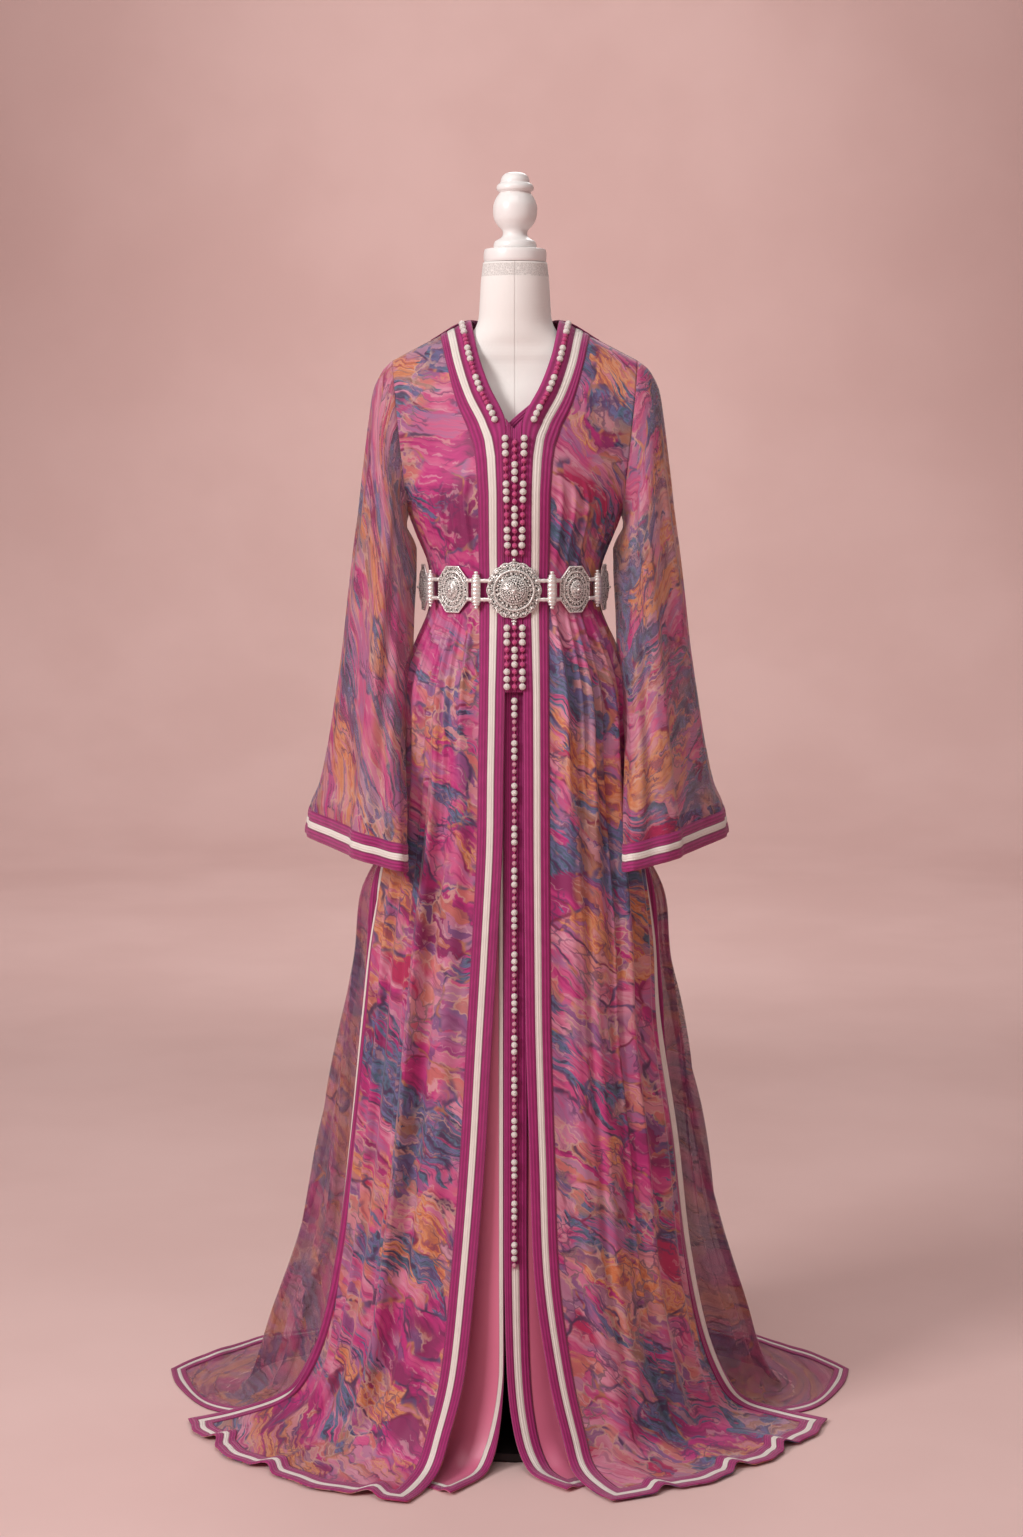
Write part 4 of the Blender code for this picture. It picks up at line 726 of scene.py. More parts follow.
# Columns: edge x y z, side x y z, bow of the section
FRONT_LEFT = (
    (-0.0620, -0.0006, 1.6080, -0.1720, -0.0006, 1.5520, 0.00),
    (-0.0580, -0.0220, 1.5900, -0.1710, -0.0262, 1.5418, 0.10),
    (-0.0500, -0.0500, 1.5560, -0.1665, -0.0537, 1.4978, 0.20),
    (-0.0360, -0.0760, 1.5160, -0.1600, -0.0618, 1.4340, 0.35),
    (-0.0139, -0.0990, 1.4690, -0.1539, -0.0475, 1.3738, 0.60),
    (-0.0139, -0.1110, 1.4250, -0.1515, -0.0310, 1.3495, 0.90),
    (-0.0139, -0.1160, 1.3700, -0.1500, -0.0006, 1.3350, 1.00),
    (-0.0139, -0.1065, 1.2800, -0.1250, -0.0006, 1.2760, 1.00),
    (-0.0139, -0.1035, 1.2370, -0.1210, -0.0006, 1.2370, 1.00),
    (-0.0139, -0.1065, 1.1920, -0.1250, -0.0006, 1.1960, 1.00),
    (-0.0139, -0.1280, 1.0950, -0.1620, -0.0006, 1.0950, 1.00),
    (-0.0158, -0.1380, 0.9800, -0.1660, -0.0006, 0.9800, 1.00),
    (-0.0175, -0.1430, 0.8740, -0.1780, -0.0006, 0.8740, 1.00),
    (-0.0245, -0.1470, 0.7400, -0.2020, -0.0010, 0.7400, 0.95),
    (-0.0321, -0.1500, 0.6110, -0.2150, 0.0040, 0.6110, 0.90),
    (-0.0420, -0.1560, 0.4400, -0.2335, 0.0130, 0.4400, 0.85),
    (-0.0555, -0.1670, 0.2740, -0.2560, 0.0270, 0.2740, 0.75),
    (-0.0710, -0.1820, 0.1370, -0.2860, 0.0450, 0.1400, 0.60),
    (-0.0923, -0.2030, 0.0560, -0.3220, 0.0620, 0.0550, 0.45),
    (-0.1060, -0.2250, 0.0180, -0.3560, 0.0830, 0.0170, 0.50),
    (-0.1260, -0.2640, 0.0052, -0.4220, 0.0500, 0.0052, 0.58),
    (-0.1470, -0.3030, 0.0052, -0.4830, 0.0120, 0.0052, 0.62),
)
FRONT_RIGHT = (
    (0.0620, -0.0006, 1.6080, 0.1720, -0.0006, 1.5520, 0.00),
    (0.0580, -0.0220, 1.5900, 0.1710, -0.0262, 1.5418, 0.10),
    (0.0500, -0.0500, 1.5560, 0.1665, -0.0537, 1.4978, 0.20),
    (0.0350, -0.0760, 1.5160, 0.1600, -0.0618, 1.4340, 0.35),
    (0.0114, -0.0990, 1.4690, 0.1539, -0.0475, 1.3738, 0.60),
    (0.0114, -0.1110, 1.4250, 0.1515, -0.0310, 1.3495, 0.90),
    (0.0114, -0.1160, 1.3700, 0.1500, -0.0006, 1.3350, 1.00),
    (0.0114, -0.1065, 1.2800, 0.1250, -0.0006, 1.2760, 1.00),
    (0.0114, -0.1035, 1.2370, 0.1210, -0.0006, 1.2370, 1.00),
    (0.0114, -0.1065, 1.1920, 0.1250, -0.0006, 1.1960, 1.00),
    (0.0114, -0.1280, 1.0950, 0.1620, -0.0006, 1.0950, 1.00),
    (0.0120, -0.1380, 0.9800, 0.1660, -0.0006, 0.9800, 1.00),
    (0.0123, -0.1430, 0.8740, 0.1780, -0.0006, 0.8740, 1.00),
    (0.0135, -0.1470, 0.7400, 0.1980, -0.0010, 0.7400, 0.95),
    (0.0152, -0.1500, 0.6110, 0.2065, 0.0020, 0.6110, 0.90),
    (0.0205, -0.1560, 0.4400, 0.2330, 0.0120, 0.4400, 0.85),
    (0.0271, -0.1670, 0.2740, 0.2540, 0.0240, 0.2740, 0.75),
    (0.0470, -0.1820, 0.1370, 0.2820, 0.0460, 0.1400, 0.60),
    (0.0670, -0.2030, 0.0560, 0.3160, 0.0570, 0.0550, 0.45),
    (0.0800, -0.2250, 0.0180, 0.3480, 0.0680, 0.0170, 0.45),
    (0.1060, -0.2630, 0.0052, 0.4050, 0.0500, 0.0052, 0.48),
    (0.1320, -0.2990, 0.0052, 0.4620, 0.0120, 0.0052, 0.50),
)
# Left half. Columns: side x y z, flank x y z, shoulder blade x y z, centre y z
BACK = (
    (-0.1720, 0.0006, 1.5520, -0.1200, 0.0012, 1.5790, -0.0640, 0.0020, 1.6075, 0.0760, 1.5930),
    (-0.1710, 0.0262, 1.5418, -0.1220, 0.0350, 1.5640, -0.0680, 0.0480, 1.5860, 0.0880, 1.5700),
    (-0.1665, 0.0537, 1.4978, -0.1280, 0.0720, 1.5140, -0.0720, 0.0860, 1.5340, 0.0960, 1.5300),
    (-0.1600, 0.0618, 1.4340, -0.1300, 0.0860, 1.4420, -0.0760, 0.1000, 1.4560, 0.1060, 1.4600),
    (-0.1539, 0.0475, 1.3738, -0.1310, 0.0800, 1.3820, -0.0790, 0.1010, 1.3940, 0.1080, 1.4000),
    (-0.1515, 0.0310, 1.3495, -0.1335, 0.0650, 1.3480, -0.0820, 0.0960, 1.3560, 0.1060, 1.3600),
    (-0.1500, 0.0006, 1.3350, -0.1300, 0.0570, 1.3330, -0.0720, 0.0930, 1.3300, 0.1040, 1.3280),
    (-0.1250, 0.0006, 1.2760, -0.1035, 0.0605, 1.2760, -0.0535, 0.0960, 1.2760, 0.1060, 1.2760),
    (-0.1210, 0.0006, 1.2370, -0.0990, 0.0595, 1.2370, -0.0510, 0.0940, 1.2370, 0.1035, 1.2370),
    (-0.1250, 0.0006, 1.1960, -0.1035, 0.0605, 1.1960, -0.0535, 0.0960, 1.1960, 0.1060, 1.1960),
    (-0.1620, 0.0006, 1.0950, -0.1340, 0.0735, 1.0950, -0.0690, 0.1160, 1.0950, 0.1280, 1.0950),
    (-0.1660, 0.0006, 0.9800, -0.1430, 0.0800, 0.9800, -0.0750, 0.1290, 0.9800, 0.1400, 0.9800),
    (-0.1780, 0.0006, 0.8740, -0.1760, 0.0700, 0.8740, -0.0980, 0.1330, 0.8740, 0.1520, 0.8740),
    (-0.1820, 0.0060, 0.7900, -0.2230, 0.0620, 0.7900, -0.1300, 0.1450, 0.7900, 0.1640, 0.7900),
    (-0.1860, 0.0080, 0.7000, -0.2320, 0.0650, 0.7000, -0.1440, 0.1540, 0.7000, 0.1740, 0.7000),
    (-0.1890, 0.0110, 0.6110, -0.2470, 0.0680, 0.6110, -0.1540, 0.1620, 0.6110, 0.1830, 0.6110),
    (-0.1950, 0.0140, 0.4400, -0.2775, 0.0780, 0.4400, -0.1750, 0.1820, 0.4400, 0.2030, 0.4400),
    (-0.2070, 0.0180, 0.2740, -0.3130, 0.0900, 0.2740, -0.2050, 0.2070, 0.2740, 0.2300, 0.2740),
    (-0.2380, 0.0230, 0.1400, -0.3580, 0.1050, 0.1400, -0.2450, 0.2370, 0.1400, 0.2640, 0.1400),
    (-0.2650, 0.0300, 0.0550, -0.3850, 0.1300, 0.0560, -0.2700, 0.2670, 0.0560, 0.2960, 0.0560),
    (-0.2950, 0.0350, 0.0130, -0.4080, 0.1570, 0.0150, -0.2900, 0.2970, 0.0150, 0.3300, 0.0150),
    (-0.3780, 0.0340, 0.0018, -0.4280, 0.1800, 0.0018, -0.3080, 0.3260, 0.0018, 0.3680, 0.0018),
    (-0.4600, 0.0640, 0.0018, -0.4520, 0.2100, 0.0018, -0.3220, 0.3570, 0.0018, 0.4120, 0.0018),
    (-0.5160, 0.1600, 0.0018, -0.4700, 0.2520, 0.0018, -0.3350, 0.3880, 0.0018, 0.4560, 0.0018),
    (-0.5370, 0.2380, 0.0018, -0.4860, 0.3120, 0.0018, -0.3500, 0.4220, 0.0018, 0.5000, 0.0018),
)
# Sleeve rings. Columns: outer x y z, inner x y z, half depth
SLEEVE = (
    (-0.1850, 0.0000, 1.5400, -0.1525, 0.0000, 1.3270, 0.0640),
    (-0.1990, 0.0000, 1.5120, -0.1535, 0.0000, 1.3220, 0.0665),
    (-0.2045, 0.0000, 1.4760, -0.1535, 0.0000, 1.3170, 0.0695),
    (-0.2090, 0.0010, 1.4320, -0.1530, -0.0010, 1.3090, 0.0720),
    (-0.2135, 0.0020, 1.3870, -0.1530, -0.0030, 1.2960, 0.0740),
    (-0.2185, 0.0040, 1.3430, -0.1530, -0.0060, 1.2780, 0.0750),
    (-0.2265, 0.0080, 1.2880, -0.1535, -0.0120, 1.2450, 0.0745),
    (-0.2345, 0.0120, 1.2250, -0.1560, -0.0220, 1.1980, 0.0720),
    (-0.2438, 0.0160, 1.1470, -0.1575, -0.0380, 1.1330, 0.0690),
    (-0.2545, 0.0200, 1.0780, -0.1575, -0.0560, 1.0670, 0.0670),
    (-0.2655, 0.0200, 1.0120, -0.1560, -0.0880, 1.0000, 0.0630),
    (-0.2790, 0.0200, 0.9530, -0.1530, -0.1180, 0.9360, 0.0590),
    (-0.2930, 0.0200, 0.9250, -0.1505, -0.1380, 0.8960, 0.0570),
    (-0.3025, 0.0200, 0.8810, -0.1480, -0.1520, 0.8490, 0.0560),
)
# Columns: place across 0-1, half width 0-1, height, first row, full row, last row
FOLDS_FRONT_LEFT = (
    (0.26, 0.085, 0.0090, 8.9, 11.0, 19.5),
    (0.44, 0.080, 0.0110, 8.9, 11.5, 19.5),
    (0.60, 0.070, 0.0080, 8.9, 11.0, 19.5),
    (0.75, 0.085, 0.0130, 9.0, 12.5, 20.0),
    (0.36, 0.060, 0.0035, 5.4, 6.2, 7.4),
    (0.58, 0.060, 0.0040, 5.4, 6.2, 7.4),
)
FOLDS_FRONT_RIGHT = (
    (0.27, 0.085, 0.0100, 8.9, 11.0, 19.5),
    (0.43, 0.075, 0.0085, 8.9, 11.5, 19.5),
    (0.59, 0.080, 0.0120, 8.9, 11.0, 19.5),
    (0.76, 0.080, 0.0110, 9.0, 12.5, 20.0),
    (0.38, 0.060, 0.0040, 5.4, 6.2, 7.4),
    (0.60, 0.060, 0.0035, 5.4, 6.2, 7.4),
)
FOLDS_BACK = (
    (0.20, 0.045, 0.0120, 9.0, 13.0, 22.0),
    (0.31, 0.045, 0.0150, 8.9, 12.0, 22.0),
    (0.42, 0.040, 0.0120, 8.9, 12.0, 22.0),
    (0.52, 0.045, 0.0160, 8.9, 12.0, 22.0),
    (0.63, 0.045, 0.0120, 8.9, 12.0, 22.0),
    (0.73, 0.045, 0.0150, 8.9, 12.0, 22.0),
    (0.83, 0.040, 0.0110, 9.0, 13.0, 22.0),
)
# Columns: turn 0-1, half width, height, first ring, full ring, last ring
FOLDS_SLEEVE = (
    (0.12, 0.060, 0.0060, 1.0, 7.0, 14.0),
    (0.28, 0.055, 0.0080, 2.0, 8.0, 14.0),
    (0.41, 0.045, 0.0050, 4.0, 9.0, 14.0),
    (0.64, 0.060, 0.0070, 2.0, 8.0, 14.0),
    (0.86, 0.060, 0.0060, 1.0, 7.0, 14.0),
)
# Columns: row, width of the braid along the front edge
BAND_WIDTHS = (
    (0.0, 0.048),
    (1.0, 0.047),
    (2.0, 0.047),
    (3.0, 0.051),
    (4.0, 0.055),
    (5.0, 0.043),
    (6.0, 0.038),
    (7.5, 0.036),
    (21.0, 0.036),
)
# Gathers that are too fine for the solids. Columns: first place, last place, count, half width,
# height, first row, full row, last row
GATHER_GROUPS = {
    "left": (
        (0.30, 0.88, 8, 0.030, 0.0050, 5.2, 6.6, 7.6), (0.29, 0.90, 9, 0.028, 0.0062, 8.75, 9.35, 11.6),
        (0.30, 0.78, 5, 0.030, 0.0090, 9.6, 12.0, 18.6), (0.50, 0.84, 2, 0.045, 0.0120, 11.0, 14.0, 19.6),
    ),
    "right": (
        (0.28, 0.89, 8, 0.030, 0.0052, 5.3, 6.6, 7.6), (0.28, 0.91, 9, 0.027, 0.0064, 8.75, 9.35, 11.9),
        (0.32, 0.80, 4, 0.030, 0.0064, 9.8, 12.2, 18.4), (0.46, 0.86, 2, 0.042, 0.0080, 11.4, 14.2, 19.4),
    ),
    "back": (
        (0.10, 0.90, 15, 0.014, 0.0050, 5.2, 6.6, 7.6), (0.10, 0.90, 17, 0.013, 0.0060, 8.75, 9.35, 11.6),
        (0.16, 0.84, 9, 0.014, 0.0060, 9.8, 12.2, 20.0), (0.050, 0.150, 5, 0.012, 0.0150, 11.5, 15.5, 20.5),
        (0.850, 0.950, 5, 0.012, 0.0150, 11.5, 15.5, 20.5),
    ),
    "sleeve": ((0.04, 0.96, 9, 0.026, 0.0034, 1.0, 4.0, 12.6),
    (0.08, 0.90, 6, 0.034, 0.0050, 5.0, 9.0, 14.0)),
}


def gathers(part):
    """A fold table from a part's groups of gathers, each a little off its even place and height."""
    table = []
    for first, last, count, half, height, start, full, end in GATHER_GROUPS[part]:
        gap = (last - first) / (count - 1)
        for k in range(count):
            off = math.sin(2.4 * k + 7 * first + count)
            table.append((
                first + gap * (k + 0.24 * off), half * (1 + 0.25 * math.sin(4.1 * k + 1)),
                height * (1 + 0.35 * math.sin(3.3 * k + count)), start, full,
                end + 0.12 * (end - start) * off,
            ))
    return table


# Ripples of the hems on the floor. Columns: place across 0-1, half width, out, lift
RIPPLES = {
    "left": (
        (0.13, 0.055, -0.010, 0.0060), (0.30, 0.090, 0.006, 0.0), (0.51, 0.060, -0.012, 0.0065),
        (0.66, 0.080, 0.006, 0.0), (0.79, 0.050, -0.012, 0.0070), (0.90, 0.060, 0.005, 0.0),
    ),
    "right": (
        (0.19, 0.050, -0.010, 0.0055), (0.33, 0.085, 0.006, 0.0), (0.48, 0.055, -0.012, 0.0065),
        (0.60, 0.060, 0.005, 0.0), (0.72, 0.050, -0.012, 0.0070), (0.87, 0.080, 0.006, 0.0),
    ),
    "back": (
        (0.09, 0.030, -0.012, 0.006), (0.17, 0.040, 0.008, 0.0), (0.26, 0.030, -0.012, 0.007),
        (0.36, 0.040, 0.008, 0.0), (0.45, 0.030, -0.010, 0.006), (0.55, 0.040, 0.008, 0.0),
        (0.64, 0.030, -0.012, 0.007), (0.74, 0.040, 0.008, 0.0), (0.83, 0.030, -0.012, 0.006),
        (0.92, 0.035, 0.006, 0.0),
    ),
}


def band_width(row):
    """Width of the braid along the front edge."""
    return float(np.interp(row, [w[0] for w in BAND_WIDTHS], [w[1] for w in BAND_WIDTHS]))


# Columns: row, where the ivory stripe starts and ends across the front band
STRIPE_ROWS = (
    (0.0, 0.54, 0.78), (2.0, 0.54, 0.78), (3.0, 0.52, 0.72), (4.0, 0.48, 0.67), (5.0, 0.33, 0.62),
    (6.0, 0.30, 0.60), (9.0, 0.30, 0.60), (10.0, 0.37, 0.64), (21.0, 0.37, 0.63),
)


def front_stripes(row):
    """Borders of the front band's stripes at a row."""
    rows = [entry[0] for entry in STRIPE_ROWS]
    return tuple(float(np.interp(row, rows, [entry[k] for entry in STRIPE_ROWS])) for k in (1, 2))


def printed(name, cover, depth=0.0):
    """The marbled chiffon, with the share of light that one face of it holds back, and depth, the painted shade
    that darkens its print.
    """
    chiffon = Look(name, Roughness=0.55, Sheen_Weight=0.25, Sheen_Roughness=0.4, Specular_IOR_Level=0.35)
    flat = chiffon.place("cloth")
    metres = chiffon.node(
        "Mapping", None, {"Vector": flat, "Scale": (2.0, 2.0, 1.0), "Rotation": (0.0, 0.0, -0.66)}
    )
    long = chiffon.node("Mapping", None, {"Vector": metres, "Scale": (0.55, 1.20, 1.0)})

    def pushed(vector, scale, reach):
        """A vector pushed about by a noise, up to about its reach."""
        push = chiffon.noise(metres, scale, 2.0, "2D").output("Color")
        centred = chiffon.node("VectorMath", {"operation": "SUBTRACT"}, {0: push, 1: (0.5, 0.5, 0.5)})
        scaled = chiffon.node("VectorMath", {"operation": "SCALE"}, {"Vector": centred, "Scale": reach})
        return chiffon.node("VectorMath", {"operation": "ADD"}, {0: vector, 1: scaled})

    def cells(vector, scale):
        """The chance of each cell twice, and the distance to the nearest border of a cell."""
        flats = {"voronoi_dimensions": "2D"}
        cell = chiffon.node("TexVoronoi", flats, {"Vector": vector, "Scale": scale})
        chance, chance_too, _ = chiffon.parts(cell.output("Color"))
        edges = dict(flats, feature="DISTANCE_TO_EDGE")
        return chance, chance_too, chiffon.node("TexVoronoi", edges, {"Vector": vector, "Scale": scale})

    bent = pushed(pushed(long, 8.0, 0.080), 34.0, 0.014)
    small = pushed(bent, 80.0, 0.012)
    chance, chance_too, edge = cells(bent, 17.0)
    petal_chance, petal_chance_too, petal_edge = cells(small, 62.0)
    stretched = chiffon.node("Mapping", None, {"Vector": bent, "Scale": (1.0, 5.5, 1.0)})
    streaks = chiffon.noise(stretched, 26.0, 3.0, "2D")
    wisps = chiffon.noise(
        chiffon.node("Mapping", None, {"Vector": small, "Scale": (1.0, 1.9, 1.0)}), 46.0, 3.0, "2D"
    )
    ground = chiffon.noise(bent, 7.5, 3.0, "2D") + (chance - 0.5) * 0.26 + (streaks - 0.5) * 0.16
    colour = chiffon.ramp(ground, (
        (0.28, (0.300, 0.018, 0.120)),
        (0.38, (0.640, 0.026, 0.230)),
        (0.45, (0.760, 0.130, 0.300)),
        (0.52, (0.440, 0.180, 0.370)),
        (0.58, (0.720, 0.070, 0.240)),
        (0.66, (0.860, 0.360, 0.480)),
        (0.76, (0.560, 0.020, 0.100)),
    ), "LINEAR")
    flame = chiffon.ramp(wisps, (
        (0.34, (0.380, 0.100, 0.080)),
        (0.45, (0.820, 0.270, 0.040)),
        (0.56, (0.900, 0.460, 0.200)),
        (0.64, (0.620, 0.090, 0.120)),
    ), "LINEAR")
    shadow = chiffon.ramp(wisps, (
        (0.34, (0.012, 0.035, 0.090)),
        (0.45, (0.022, 0.180, 0.240)),
        (0.54, (0.140, 0.200, 0.400)),
        (0.64, (0.018, 0.030, 0.100)),
    ), "LINEAR")
    warm = chiffon.noise(bent, 5.6, 3.0, "2D", 0.3) + (wisps - 0.5) * 0.30 + (chance_too - 0.5) * 0.24
    cool = chiffon.noise(long, 6.4, 3.0, "2D", 0.4) + (streaks - 0.5) * 0.40 + (chance_too - 0.5) * -0.26
    colour = chiffon.mix(warm.step(0.570, 0.630) * 0.88, colour, flame)
    colour = chiffon.mix(cool.step(0.570, 0.615) * 0.95, colour, shadow)
    petals = chiffon.noise(metres, 9.0, 1.0, "2D").step(0.47, 0.58)
    colour = chiffon.mix(petals * petal_chance.step(0.66, 0.72) * 0.55, colour, (0.760, 0.300, 0.100))
    colour = chiffon.mix(petals * (1 - petal_chance.step(0.20, 0.26)) * 0.60, colour, (0.150, 0.130, 0.300))
    colour = chiffon.mix(petals * petal_chance_too.step(0.74, 0.80) * 0.50, colour, (0.820, 0.380, 0.480))
    colour = chiffon.mix(wisps.step(0.60, 0.68) * 0.40, colour, (0.920, 0.560, 0.600))
    colour = chiffon.mix((1 - streaks.step(0.30, 0.42)) * 0.38, colour, (0.110, 0.014, 0.085))
    strength, strength_too, strength_last = chiffon.parts(
        chiffon.noise(metres, 14.0, 2.0, "2D").output("Color")
    )
    line_colour = chiffon.ramp(chiffon.noise(metres, 19.0, 1.0, "2D"), (
        (0.36, (0.030, 0.030, 0.080)),
        (0.48, (0.100, 0.090, 0.210)),
        (0.56, (0.600, 0.240, 0.090)),
        (0.64, (0.240, 0.010, 0.060)),
    ))
    lines = (1 - edge.step(0.012, 0.060)) * strength.step(0.40, 0.52)
    pale = (1 - petal_edge.step(0.03, 0.130)) * petals * strength_too.step(0.44, 0.54)
    dark = (1 - petal_edge.step(0.03, 0.120)) * strength_last.step(0.52, 0.60)
    colour = chiffon.mix(lines * 0.88, colour, line_colour)
    colour = chiffon.mix(pale * 0.70, colour, (0.800, 0.500, 0.380))
    colour = chiffon.mix(dark * 0.65, colour, (0.070, 0.040, 0.120))
    # Painted shade: the print darkened toward dark plum by depth, standing in for the shade of its layered folds.
    colour = chiffon.mix(depth, colour, (0.110, 0.022, 0.070))
    crepe = chiffon.noise(flat, 1500.0, 1.0, "2D")
    if cover == 1:
        return chiffon.finish(crepe, 0.0003, 0.3, Base_Color=colour)
    return chiffon.finish(
        crepe, 0.0003, 0.3, Base_Color=colour, Alpha=crepe * 0.10 + (cover - 0.05) + lines * 0.20
    )


# The last number of each is the painted shade that darkens its print.
front_chiffon = printed("printed_chiffon_front", 1, 0.36)
sleeve_chiffon = printed("printed_chiffon_sleeve", 0.56, 0.07)
train_chiffon = printed("printed_chiffon_train", 0.44, 0.38)
lining = Look("printed_chiffon_underside", Roughness=0.6, Alpha=0.42)
blush = lining.noise(lining.place("cloth"), 14.0, 2.0, "2D")
underside = lining.finish(Base_Color=lining.mix(blush, (0.30, 0.035, 0.150), (0.44, 0.130, 0.230)))

FRONT_FOLDS = {"left": FOLDS_FRONT_LEFT, "right": FOLDS_FRONT_RIGHT}
outer = {}
for side, table in (("left", FRONT_LEFT), ("right", FRONT_RIGHT)):
    folds = [FRONT_FOLDS[side], gathers(side)]
    outer[side] = front_panel(table, folds, 21.0, band_width, front_stripes, BAND, 60, 0.0095, BAND)
    ripple(outer[side], RIPPLES[side], BAND)
    cloth(
        "kaftan_front_" + side, outer[side], front_chiffon, ["outer_front_" + side],
        shift=(0.0, 0.0) if side == "left" else (0.7, 0.3),
    )
# Broad hollows under the sides' sharp folds, which keep the outline where it is
HOLLOWS = ((0.10, 0.085, -0.0085, 11.5, 15.5, 20.5), (0.90, 0.085, -0.0085, 11.5, 15.5, 20.5))
outer["back"] = back_panel(
    BACK, [FOLDS_BACK, gathers("back"), HOLLOWS], 24.0, BAND, 150, 0.0105, BAND, BACK_RIGHT_SHARE
)
ripple(outer["back"], RIPPLES["back"], BAND)
cloth(
    "kaftan_back", outer["back"], train_chiffon, ["outer_back"], underside, shift=(0.3, 0.9)
)

SLEEVE_TURNS = 96
SLEEVE_GAP = 0.0002
# Fullness at the inner elbow, in the columns of a fold table
ELBOW = ((0.5, 0.17, 0.011, 2.4, 4.4, 9.6),)
CUFF = 0.039


def armhole(turn, sign):
    """A point of the armhole, with turn 0 at the top and a quarter at the front."""
    if turn <= 0.5:
        spot = front_line(FRONT_LEFT if sign < 0 else FRONT_RIGHT, turn * 12)[-1]
    else:
        line = back_line(BACK, (1 - turn) * 12)
        spot = line[0] if sign < 0 else line[-1]
    return spot + np.array((sign * SLEEVE_GAP, 0.0, 0.0))


def sleeve(sign):
    """A sleeve as a panel that closes on itself, from the armhole to the cuff."""
    turns = np.arange(SLEEVE_TURNS) / SLEEVE_TURNS
    hole = np.array([armhole(turn, sign) for turn in turns])

    def ring(place):
        ox, oy, oz, ix, iy, iz, depth = between(SLEEVE, place)
        ox = ox * SLEEVE_RIGHT_SHARE if sign > 0 else ox
        c, d = np.cos(2 * np.pi * turns), np.sin(2 * np.pi * turns)
        x = (ox + ix) / 2 + (ox - ix) / 2 * c
        y = (oy + iy) / 2 + (oy - iy) / 2 * c - depth * d
        return np.stack((-sign * x, y, (oz + iz) / 2 + (oz - iz) / 2 * c), axis=1)

    def lines(row):
        points = ring(row)
        if row < 0:
            points = hole * -row + points * (1 + row)
        return points, turns

    return Panel(
        lines, 13.0, sign, [FOLDS_SLEEVE, gathers("sleeve"), ELBOW],
        0.0085, CUFF, BAND_STEPS, loop=True, first_row=-1.0
    )


for side, sign in (("left", -1.0), ("right", 1.0)):
    outer["sleeve_" + side] = sleeve(sign)
    cloth(
        "kaftan_sleeve_" + side, outer["sleeve_" + side], sleeve_chiffon,
        ["sleeve_" + side], underside, shift=(1.1 + sign * 0.3, 0.2),
    )

# Braid: magenta, ivory and magenta ribbed bands, stitched flat along the necks, front edges,
# slits, hems and cuffs of both garments, and mitred where two edges meet.
BRAID_LIFT = 0.0004
BRAID_EDGE = 0.0007
BRAID_CROWN = 0.0015
SLIT_ROW = 12.0

braid = Look("ribbed_braid", Roughness=0.58, Sheen_Weight=0.25, Sheen_Roughness=0.35)
stripe = braid.node("Attribute", {"attribute_name": "stripe"}).output("Fac")
dyed = braid.node("Attribute", {"attribute_name": "dyed"}).output("Fac")
flat = braid.place("cloth")
across, down, _ = braid.parts(flat)
ivory = stripe.step(0.98, 1.03) * (1 - stripe.step(1.97, 2.02)) * (1 - dyed)
cords = stripe.wave(3.0)
twill = (across * 2.0 + down * 2.0).wave(620) * (0.5 + 0.5 * stripe.wave(1.5).join("SIGN", stripe.wave(1.5)))
weft = (across * 2.0 - down * 2.0).wave(620)
border = 1 - (stripe - 1.0).size().step(0.02, 0.10) + 1 - (stripe - 2.0).size().step(0.02, 0.10)
worn = braid.noise(flat, 120.0, 3.0, "2D")
magenta = braid.mix(worn, (0.33, 0.009, 0.130), (0.50, 0.024, 0.210))
# Painted shade: the magenta darkened in the valleys between the cords.
magenta = braid.mix((0.5 - cords * 0.5) * 0.60, magenta, (0.15, 0.004, 0.060))
cream = braid.mix(worn, (0.82, 0.745, 0.69), (0.92, 0.855, 0.80))
# Painted shade: the ivory darkened in the valleys of the weft.
cream = braid.mix((0.5 - weft * 0.5) * 0.22, cream, (0.50, 0.40, 0.37))
shade = braid.mix(ivory, magenta, cream)
# Painted shade: dark lines in the grooves between the stripes.
shade = braid.mix(border * 0.55, shade, (0.12, 0.006, 0.045))
ribbed_braid = braid.finish(
    cords * 0.5 + weft * 0.22 + twill * 0.15 - border * 0.6, 0.0007, 0.8, Base_Color=shade
)


def edge_band(name, panel, edges, replaced, plain=None, kept_stripes=3):
    """The braid along some edges of a panel, as steps in from the nearest of those edges."""
    rows, columns = panel.grid.shape[:2]
    i, j = np.meshgrid(np.arange(rows), np.arange(columns), indexing="ij")
    far = np.full(panel.grid.shape[:2], 1e9)
    inwards = {
        "first": j, "last": columns - 1 - j, "hem": rows - 1 - i,
        "slit_first": np.where(panel.row > SLIT_ROW, j, far),
        "slit_last": np.where(panel.row > SLIT_ROW, columns - 1 - j, far),
    }
    depth = np.min([inwards[edge] for edge in edges], axis=0).astype(float)
    limit = kept_stripes * STRIPE_STEPS
    corner = np.max([depth[:-1, :-1], depth[:-1, 1:], depth[1:, :-1], depth[1:, 1:]], axis=0) if not panel.loop \
        else np.max([depth[:-1], depth[1:]], axis=0)
    keep = corner <= limit + 1e-6
    place = np.mod(depth, STRIPE_STEPS) / STRIPE_STEPS
    crown = BRAID_EDGE + (BRAID_CROWN - BRAID_EDGE) * np.sqrt(np.clip(4 * place * (1 - place), 0, 1))
    top = panel.grid + panel.out * crown[..., None]
    bottom = panel.grid + panel.out * BRAID_LIFT
    uv = np.stack((panel.across, panel.down), axis=-1) / 2
    values = {
        "stripe": np.minimum(depth / STRIPE_STEPS, 3.0),
        "dyed": np.zeros_like(depth) if plain is None else plain,
    }
    return shell(
        name, panel.grid, top, bottom, ribbed_braid, replaced, uv, keep, values, panel.loop
    )


